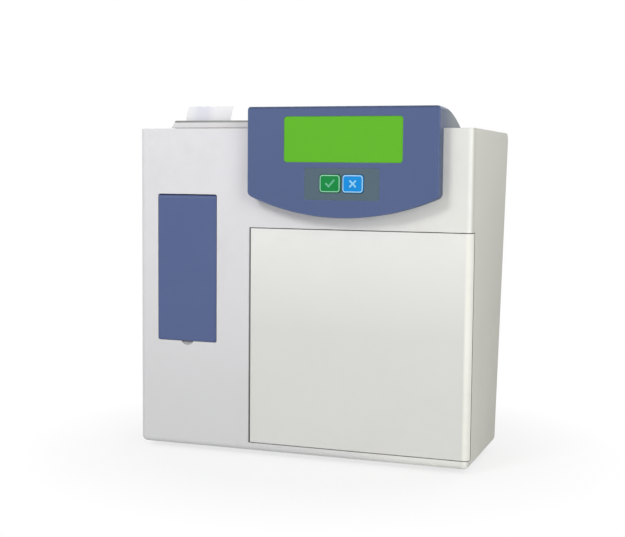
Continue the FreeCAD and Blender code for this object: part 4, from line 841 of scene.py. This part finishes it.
def addTube(name, spots, radius, node):
    curve = tubeCurve(radius)
    spline = curve.splines.new("NURBS")
    spline.points.add(len(spots) - 1)
    for (x, z), point in zip(spots, spline.points):
        point.co = (x, flowY, z, 1)
    spline.order_u = 3
    spline.use_endpoint_u = True
    placeTube(name, curve, node)


def makeLines():
    addTube("sampleTube", lines["sample"], lines["radius"], "sample_line")
    addTube("wasteTube", lines["waste"], lines["radius"], "waste_line")
    for count, x in enumerate(lines["packX"], 1):
        addTube("packTube%d" % count, [(x, z) for z in lines["packZ"]], lines["packRadius"],
            "pack_tubes" if count == 1 else None)
    curve = tubeCurve(lines["radius"])
    spline = curve.splines.new("BEZIER")
    spline.bezier_points.add(len(lines["pump"]) - 1)
    for ((x, z), (overX, overZ)), point in zip(lines["pump"], spline.bezier_points):
        point.co = (x, flowY, z)
        point.handle_left = (x - overX, flowY, z - overZ)
        point.handle_right = (x + overX, flowY, z + overZ)
    placeTube("pumpTube", curve, "pump_tube")


# Electrodes: clear bodies with a sight glass, a gel core and a ribbed cap in its own colour

electrodeSize = {
    "left": -28.7, "pitch": 15.8, "width": 15.5, "depth": 30, "y": -12.57, "corner": 2,
    "flowZ": 169, "boreRadius": 3.2, "boreDepth": 2.6, "neck": (4, 192.6, 196.2), "ribs": 18,
    "rib": 0.35, "body": [(1.2, 155), (0.35, 155.35), (0, 156.2), (0, 179.4), (0.5, 179.9),
        (0.5, 180.5), (0, 181), (0, 191.8), (0.35, 192.65), (1.2, 193)], "cap": [(2.6, 196),
        (5.1, 196), (5.5, 196.5), (5.5, 203), (4.9, 203.7), (3.1, 204), (2.8, 203.2), (1, 203.2)],
    "core": [(0, 160), (2.6, 160), (3.4, 162), (3.4, 188), (2.6, 190), (0, 190)],
    "sight": [(3.1, -0.2), (3.1, 0.5), (3.5, 0.8), (4.2, 0.8), (4.5, 0.4), (4.5, -0.2)],
    "glass": [(0, -1.4), (3.2, -1.4), (3.2, -0.4), (2.4, 0.05), (1.2, 0.35), (0, 0.42)],
}
glassLook = {"rough": 0.08, "coat": 0.8, "grain": 0.3, "depth": 0.005}
electrodes = [      # name, slot, cap tone and gel tone
    ("reference", "electrode_grey", (46, 46, 49), (206, 208, 212)),
    ("sodium", "electrode_clear", (224, 150, 44), (222, 196, 142)),
    ("potassium", "electrode_clear", (132, 88, 160), (186, 168, 206)),
    ("chloride", "electrode_clear", (56, 150, 92), (168, 204, 178)),
    ("calcium", "electrode_clear", (62, 122, 190), (160, 190, 220)),
]


def makeElectrodes():
    size = electrodeSize
    frontY = size["y"] - size["depth"] / 2
    for index, (name, slot, capTone, gelTone) in enumerate(electrodes):
        x = size["left"] + size["pitch"] * index + size["width"] / 2
        stand = upright(x, size["y"])
        sight = facing((x, frontY, size["flowZ"]), front)
        body = slabMesh(size["width"], size["depth"], size["corner"], size["body"])
        bore = rodMesh(size["boreRadius"], -1, size["boreDepth"])
        bore.transform(Matrix.Translation((0, -size["depth"] / 2, size["flowZ"])) @
            Matrix.Rotation(-pi / 2, 4, "X"))
        cap = ribbedMesh(size["cap"], size["ribs"], size["rib"])
        gel, glass = plainLook(gelTone, rough=0.25), plainLook(gelTone, **glassLook)
        addPiece(name + "Body", cutMesh(body, bore), stand, slot, node=name + "_electrode")
        for part, mesh, place, finish in (
                ("Neck", rodMesh(*size["neck"], steps=40), stand, None),
                ("Cap", cap, stand, moulded(name + "Cap", plainLook(capTone))),
                ("Core", turnedMesh(size["core"], steps=24), stand, moulded(name + "Gel", gel)),
                ("Sight", ringMesh(size["sight"]), sight, "zinc_steel"),
                ("Glass", turnedMesh(size["glass"]), sight, moulded(name + "Glass", glass))):
            addPiece(name + part, mesh, place, slot, finish=finish)


# Pump: rotor discs, hub and shaft, rollers with their pins, and screws

pumpSize = {
    "x": -6, "z": 88, "frontBackY": -19.97, "rearBackY": -7.57, "disc": [(0, 0), (17, 0),
        (17.35, 0.15), (17.5, 0.5), (17.5, 2.5), (17.35, 2.85), (17, 3), (0, 3)],
    "window": (3.6, -1, 4), "windowAt": 12, "windowTurn": 150,
    "hub": [(0, 0.1), (7, 0.1), (7, 17.6), (6.2, 18.4), (3.4, 18.4), (3.2, 17.2), (0, 17.2)],
    "shaft": (2.5, 0, 15), "shaftY": 7.43, "screwY": -24.77, "screw": 2.8, "screwTurn": 15,
    "pitch": 15, "rollerTurn": 90, "rollerY": -10.87, "roller": [(1.3, 0), (4.5, 0), (5, 0.5),
        (5, 2.2), (4.75, 2.5), (4.75, 6.3), (5, 6.6), (5, 8.3), (4.5, 8.8), (1.3, 8.8)],
    "pinY": -9.57,
    "pin": [(0, 0), (1.2, 0), (1.2, 13.4), (1.9, 13.4), (1.9, 13.8), (1.5, 14.1), (0, 14.1)],
    # reach to the side and up, y, radius and turn
    "screws": {"pump": (26, 0.73, 2.2, 40), "track": (26.5 * sqrt(0.5), -22.97, 1.9, 25)},
}


def aroundPump(reach, start, index):
    # one of three places about the rotor's axis
    turn = radians(start + 120 * index)
    return reach * cos(turn), reach * sin(turn)


def makePump():
    size = pumpSize
    x, z, rearY = size["x"], size["z"], size["rearBackY"]
    frontDisc = turnedMesh(size["disc"], steps=72)
    for index in range(3):
        hole = moved(rodMesh(*size["window"]),
            *aroundPump(size["windowAt"], size["windowTurn"], index), 0)
        frontDisc = cutMesh(frontDisc, hole)
    for name, mesh, y, finish, node in (
            ("rotorFrontDisc", frontDisc, size["frontBackY"], None, "pump_rotor"),
            ("rotorRearDisc", turnedMesh(size["disc"], steps=72), rearY, None, None),
            ("rotorHub", turnedMesh(size["hub"]), rearY, None, None),
            ("rotorShaft", rodMesh(*size["shaft"]), size["shaftY"], "pin_steel", None)):
        addPiece(name, mesh, facing((x, y, z), front), "black_plastic", "rotor", finish, node=node)
    addScrew("rotorScrew", (x, size["screwY"], z), front, size["screw"], size["screwTurn"],
        body="rotor")
    for index in range(3):
        overX, overZ = aroundPump(size["pitch"], size["rollerTurn"], index)
        atX, atZ, count = x + overX, z + overZ, index + 1
        addPiece("pumpRoller%d" % count, ringMesh(size["roller"]),
            facing((atX, size["rollerY"], atZ), front), "roller_white", "roller_%d" % count,
            node="pump_roller_%d" % count)
        addPiece("rollerPin%d" % count, turnedMesh(size["pin"], steps=28),
            facing((atX, size["pinY"], atZ), front), "pin_steel", "rotor")
    for side in (-1, 1):
        for name, (reach, y, radius, turn) in size["screws"].items():
            addScrew("%sScrew%d" % (name, side + 2), (x + side * reach, y, z + reach), front,
                radius, turn * side)


# Valves

valveSize = {
    "x": (112.5, 127, 141.5), "z": 182.5, "faceY": -21.27, "screw": 2, "turn": 50,
    "screws": ((107.5, 201), (146.5, 201), (107.5, 164), (146.5, 164)), "spool": [(0, 0),
        (6.5, 0), (6.5, 1.3), (5.2, 1.5), (5.2, 17), (6.5, 17.2), (6.5, 18.6), (6.2, 18.9),
        (0, 18.9)],
    "core": [(0, 18), (3.4, 18), (3.4, 19.6), (3, 20), (2, 20), (2, 22.5), (1.6, 23), (0, 23)],
    "windings": 30, "windingRadius": 5.8, "wire": 0.12, "windingEnds": ((5, 1.5), (5, 17)),
    "windingLow": 1.6, "windingLong": 15.3,
}
tapeLook = plainLook((176, 120, 54), rough=0.3, coat=0.3)


def makeValves():
    size = valveSize
    count = size["windings"]
    winding = [(size["windingRadius"] + size["wire"] * (step % 2),
        size["windingLow"] + size["windingLong"] * step / count) for step in range(count + 1)]
    low, high = size["windingEnds"]      # inside the spool
    winding = [low, *winding, high]
    for name, profile, steps, finish, node in (
            ("valveSpools", size["spool"], 36, "black_plastic", "valve_solenoids"),
            ("valveWindings", winding, 36, moulded("windingTape", tapeLook), None),
            ("valveCores", size["core"], 32, None, None)):
        meshes = [moved(turnedMesh(profile, steps), x, 0, 0) for x in size["x"]]
        addPiece(name, joinMeshes(meshes), facing((0, size["faceY"], size["z"]), front),
            "zinc_steel", finish=finish, node=node)
    for index, (x, z) in enumerate(size["screws"]):
        addScrew("valveScrew%d" % (index + 1), (x, size["faceY"], z), front, size["screw"],
            size["turn"] * index)


# Clamp lever: its screw and the ribs of its grip

leverSize = {
    "x": 66.06, "z": 175, "studY": -26.77, "screw": 2.7, "turn": 12, "gripX": 66.56,
    "faceY": -25.27, "ribs": (15, 18, 21, 24, 27), "rib": (5, 1.3, 0.6),
    "levels": [(0, -0.2), (0, 0.25), (0.3, 0.6)],
}


def makeLeverParts():
    size = leverSize
    addScrew("leverScrew", (size["x"], size["studY"], size["z"]), front, size["screw"],
        size["turn"])
    ribs = [moved(slabMesh(*size["rib"], size["levels"], steps=3), 0, rise, 0)
        for rise in size["ribs"]]
    grip = facing((size["gripX"], size["faceY"], size["z"]), front)
    addPiece("leverRibs", joinMeshes(ribs), grip, "lever_red", "lever")


# Reagent pack: ribs of its front and ribbed caps

packSize = {
    "frontY": -65.27, "x": 110.5, "z": 74, "height": 84, "bands": 6, "band": (72, 5, 2.4),
    "levels": [(0, -0.2), (0, 0.1), (0.5, 0.5), (1.2, 0.7)],
    "caps": ((122, "flap_blue"), (140, "lever_red")), "ribs": 20, "rib": 0.4,
    "cap": [(3.2, 136.4), (6.3, 136.4), (6.6, 136.8), (6.6, 144.1), (6.1, 144.7), (2.6, 144.75)],
}


def makePackParts():
    size = packSize
    ribs = []
    for index in range(size["bands"]):
        rise = (index - (size["bands"] - 1) / 2) * size["height"] / size["bands"]
        ribs.append(moved(slabMesh(*size["band"], size["levels"]), 0, rise, 0))
    place = facing((size["x"], size["frontY"], size["z"]), front)
    addPiece("packRibs", joinMeshes(ribs), place, "pack_white")
    for count, (x, slot) in enumerate(size["caps"], 1):
        addPiece("packCap%d" % count, ribbedMesh(size["cap"], size["ribs"], size["rib"]),
            upright(x, flowY), "pack_white", finish=slot)


# Platen roller and tear strip

platenSize = {
    "y": -53.07, "z": 329, "left": -132.5, "shaftLeft": -136, "wheelLeft": -78,
    "sleeve": [(1.55, 0), (5, 0), (5.5, 0.5), (5.5, 50.5), (5, 51), (1.55, 51)],
    "shaft": [(0, 0), (1.2, 0), (1.5, 0.3), (1.5, 62.2), (1.2, 62.5), (0, 62.5)], "wheel": 5,
    "wheelWide": 4, "teeth": 20, "toothDepth": 0.9,
}
tearSize = {
    "at": (-132.5, -60.6, 340.35), "teeth": 34, "pitch": 1.5, "tip": 0.6, "foot": -1.1,
    "thick": 0.3,
}


def makePlaten():
    size = platenSize
    wheel = []
    for step in range(size["teeth"] * 4):
        turn = 2 * pi * step / (size["teeth"] * 4)
        reach = size["wheel"] - size["toothDepth"] * (step % 4 in (2, 3))
        wheel.append((reach * cos(turn), reach * sin(turn)))
    for name, mesh, x, finish, node in (
            ("Sleeve", ringMesh(size["sleeve"]), "left", None, "platen_roller"),
            ("Shaft", turnedMesh(size["shaft"], steps=32), "shaftLeft", "pin_steel", None),
            ("Wheel", prismMesh(wheel, 0, size["wheelWide"]), "wheelLeft", "roller_white", None)):
        addPiece("platen" + name, mesh, facing((size[x], size["y"], size["z"]), acrossX),
            "black_rubber", "platen", finish, node=node)


def makeTearStrip():
    size = tearSize
    pitch, end = size["pitch"], size["pitch"] * size["teeth"]
    outline = [(0, size["foot"])]
    for step in range(size["teeth"]):
        outline += [(step * pitch, 0), (step * pitch + pitch / 2, size["tip"])]
    outline += [(end, 0), (end, size["foot"])]
    addPiece("tearStrip", prismMesh(outline, 0, size["thick"]), upright(*size["at"]),
        "bezel_grey", finish="pin_steel")


# Rear: inlet blades, face and pins of the serial socket, marks of the rocker

rearSize = {
    "rise": 44, "inletX": -118, "inletOut": -19, "serialX": -20, "serialOut": 3.45,
    "bladePlaces": ((-7, -2), (0, 2), (7, -2)), "blade": (2.15, 5.15, 0.3),
    "bladeLevels": [(0, 0), (0, 11.6), (0.4, 12.3), (0.8, 12.4)],
    "face": [(-7.4, 3.2), (-6.2, -3.2), (6.2, -3.2), (7.4, 3.2)], "faceThick": 0.35,
    "pin": [(0, 0.2), (0.5, 0.2), (0.5, 1.5), (0.25, 1.75), (0, 1.8)],
    "pinRows": ((1.42, (-2, -1, 0, 1, 2)), (-1.42, (-1.5, -0.5, 0.5, 1.5))), "pinPitch": 2.77,
    "switchX": -72, "markOut": 0.6, "markRise": 3.9, "tilt": (7.5, -1.594),
    "stroke": (0.9, 4, 0.3), "strokeLevels": [(0, -0.1), (0, 0.06)],
    "circle": [(1.3, -0.1), (2, -0.1), (2, 0.06), (1.3, 0.06)],
}


def makeRearParts():
    size = rearSize
    blades = [moved(slabMesh(*size["blade"], size["bladeLevels"], steps=3), x, y, 0)
        for x, y in size["bladePlaces"]]
    addPiece("inletBlades", joinMeshes(blades),
        facing(onRear(size["inletX"], size["inletOut"], size["rise"]), rearOut, rearUp),
        "black_plastic", finish="pin_steel")
    socket = facing(onRear(size["serialX"], size["serialOut"], size["rise"]), rearOut, rearUp)
    addPiece("serialFace", prismMesh(size["face"], 0, size["faceThick"]), socket, "zinc_steel",
        finish="black_plastic")
    pins = [moved(turnedMesh(size["pin"], steps=14), size["pinPitch"] * place, y, 0)
        for y, places in size["pinRows"] for place in places]
    addPiece("serialPins", joinMeshes(pins), socket, "zinc_steel", finish="pin_steel")
    # the stroke is on the level half, the circle on the half that is pressed in
    outward, fall = size["tilt"]
    level = onRear(size["switchX"], size["markOut"], size["rise"] + size["markRise"])
    pressed = onRear(size["switchX"], size["markOut"] + fall * size["markRise"] / outward,
        size["rise"] - size["markRise"])
    normal = Vector(onRear(0, outward, fall)) - Vector(onRear(0, 0, 0))
    stroke = slabMesh(*size["stroke"], size["strokeLevels"], steps=3)
    addPiece("rockerStroke", stroke, facing(level, rearOut, rearUp), "black_plastic", "rocker",
        "paper")
    addPiece("rockerCircle", ringMesh(size["circle"]), facing(pressed, normal, rearUp),
        "black_plastic", "rocker", "paper")


makeLines()
makeElectrodes()
makePump()
makeValves()
makeLeverParts()
makePackParts()
makePlaten()
makeTearStrip()
makeRearParts()
print("tubes, electrodes, pump, valves, lever, pack, platen and rear connectors made")


# Camera, lights and floor

cameraPlace = {
    "at": (402.1, -1186.3, 292.1), "yaw": 19.273, "pitch": -4.777, "roll": 0.535, "lens": 68.52,
    "sensor": 36, "nearest": 0.05,
}
lights = {"aim": (0, 0, 0.17), "lamps": [       # name, place, size and power
    ("keyLight", (-0.75, -1.75, 1.55), 0.6, 18),
    ("sideLight", (1.45, -1.30, 0.70), 0.9, 10),
    ("backLight", (0.60, 1.80, 1.10), 0.9, 9)]}
ambient = 0.5       # how much the white room lights the object
floorSize = {
    "side": 4, "tone": 0.86, "rough": 0.9, "gloss": 0.1, "near": 0.17, "far": 0.32,
    "glowNear": 0.72,
}


def makeCamera():
    # yaw left of the depth axis, pitch up from level, roll about the line of sight
    place = Matrix.Translation(Vector(cameraPlace["at"]) * mm)
    for name, axis, start in (("yaw", "Z", 0), ("pitch", "X", 90), ("roll", "Z", 0)):
        place = place @ Matrix.Rotation(radians(start + cameraPlace[name]), 4, axis)
    camera = bpy.data.cameras.new("camera")
    camera.lens = cameraPlace["lens"]
    camera.sensor_width = cameraPlace["sensor"]
    camera.clip_start = cameraPlace["nearest"]
    holder = linkObject("camera", camera)
    holder.matrix_world = place
    bpy.context.scene.camera = holder


def makeLights():
    for name, place, size, power in lights["lamps"]:
        lamp = bpy.data.lights.new(name, "AREA")
        lamp.shape = "SQUARE"
        lamp.size = size
        lamp.energy = power
        holder = linkObject(name, lamp)
        holder.location = place
        aim = Vector(lights["aim"]) - holder.location
        holder.rotation_euler = aim.to_track_quat("-Z", "Y").to_euler()


def seenRay(tree):
    # 1 for the camera, mirror and glass rays
    path = addNode(tree, "ShaderNodeLightPath").outputs
    seen = addMath(tree, "MAXIMUM", path["Is Camera Ray"], path["Is Glossy Ray"])
    return addMath(tree, "MAXIMUM", seen, path["Is Transmission Ray"])


def makeWorld():
    world = bpy.data.worlds.new("studio")
    world.use_nodes = True
    bpy.context.scene.world = world
    tree = world.node_tree
    back = tree.nodes["Background"].inputs
    back["Color"].default_value = (1, 1, 1, 1)
    tree.links.new(addMath(tree, "MULTIPLY_ADD", seenRay(tree), 1 - ambient, ambient),
        back["Strength"])


def makeFloor():
    # pale floor: its shadow shows near the object and fades to the white of the room
    size = floorSize
    side, tone = size["side"], size["tone"]
    mesh = bpy.data.meshes.new("floor")
    corners = [(-side, -side, 0), (side, -side, 0), (side, side, 0), (-side, side, 0)]
    mesh.from_pydata(corners, [], [(0, 1, 2, 3)])
    floor = linkObject("floor", mesh)
    material, tree, shader = startFinish("floorWhite")
    mesh.materials.append(material)
    shader.inputs["Base Color"].default_value = (tone, tone, tone, 1)
    shader.inputs["Roughness"].default_value = size["rough"]
    shader.inputs["Specular IOR Level"].default_value = size["gloss"]
    glow = addNode(tree, "ShaderNodeEmission", {"Color": (1, 1, 1, 1), "Strength": 1})
    distance = addVectorMath(tree, "LENGTH", objectPlace(tree))["Value"]
    away = addRange(tree, distance, size["near"], size["far"], size["glowNear"], 1)
    mix = addNode(tree, "ShaderNodeMixShader", {
        0: addMath(tree, "MULTIPLY", away, seenRay(tree)), 1: shader.outputs[0],
        2: glow.outputs[0]})
    tree.links.new(mix.outputs[0], tree.nodes["Material Output"].inputs["Surface"])


makeCamera()
makeLights()
makeWorld()
makeFloor()
bpy.context.scene.view_settings.view_transform = "Standard"
print("camera, lights and floor set")
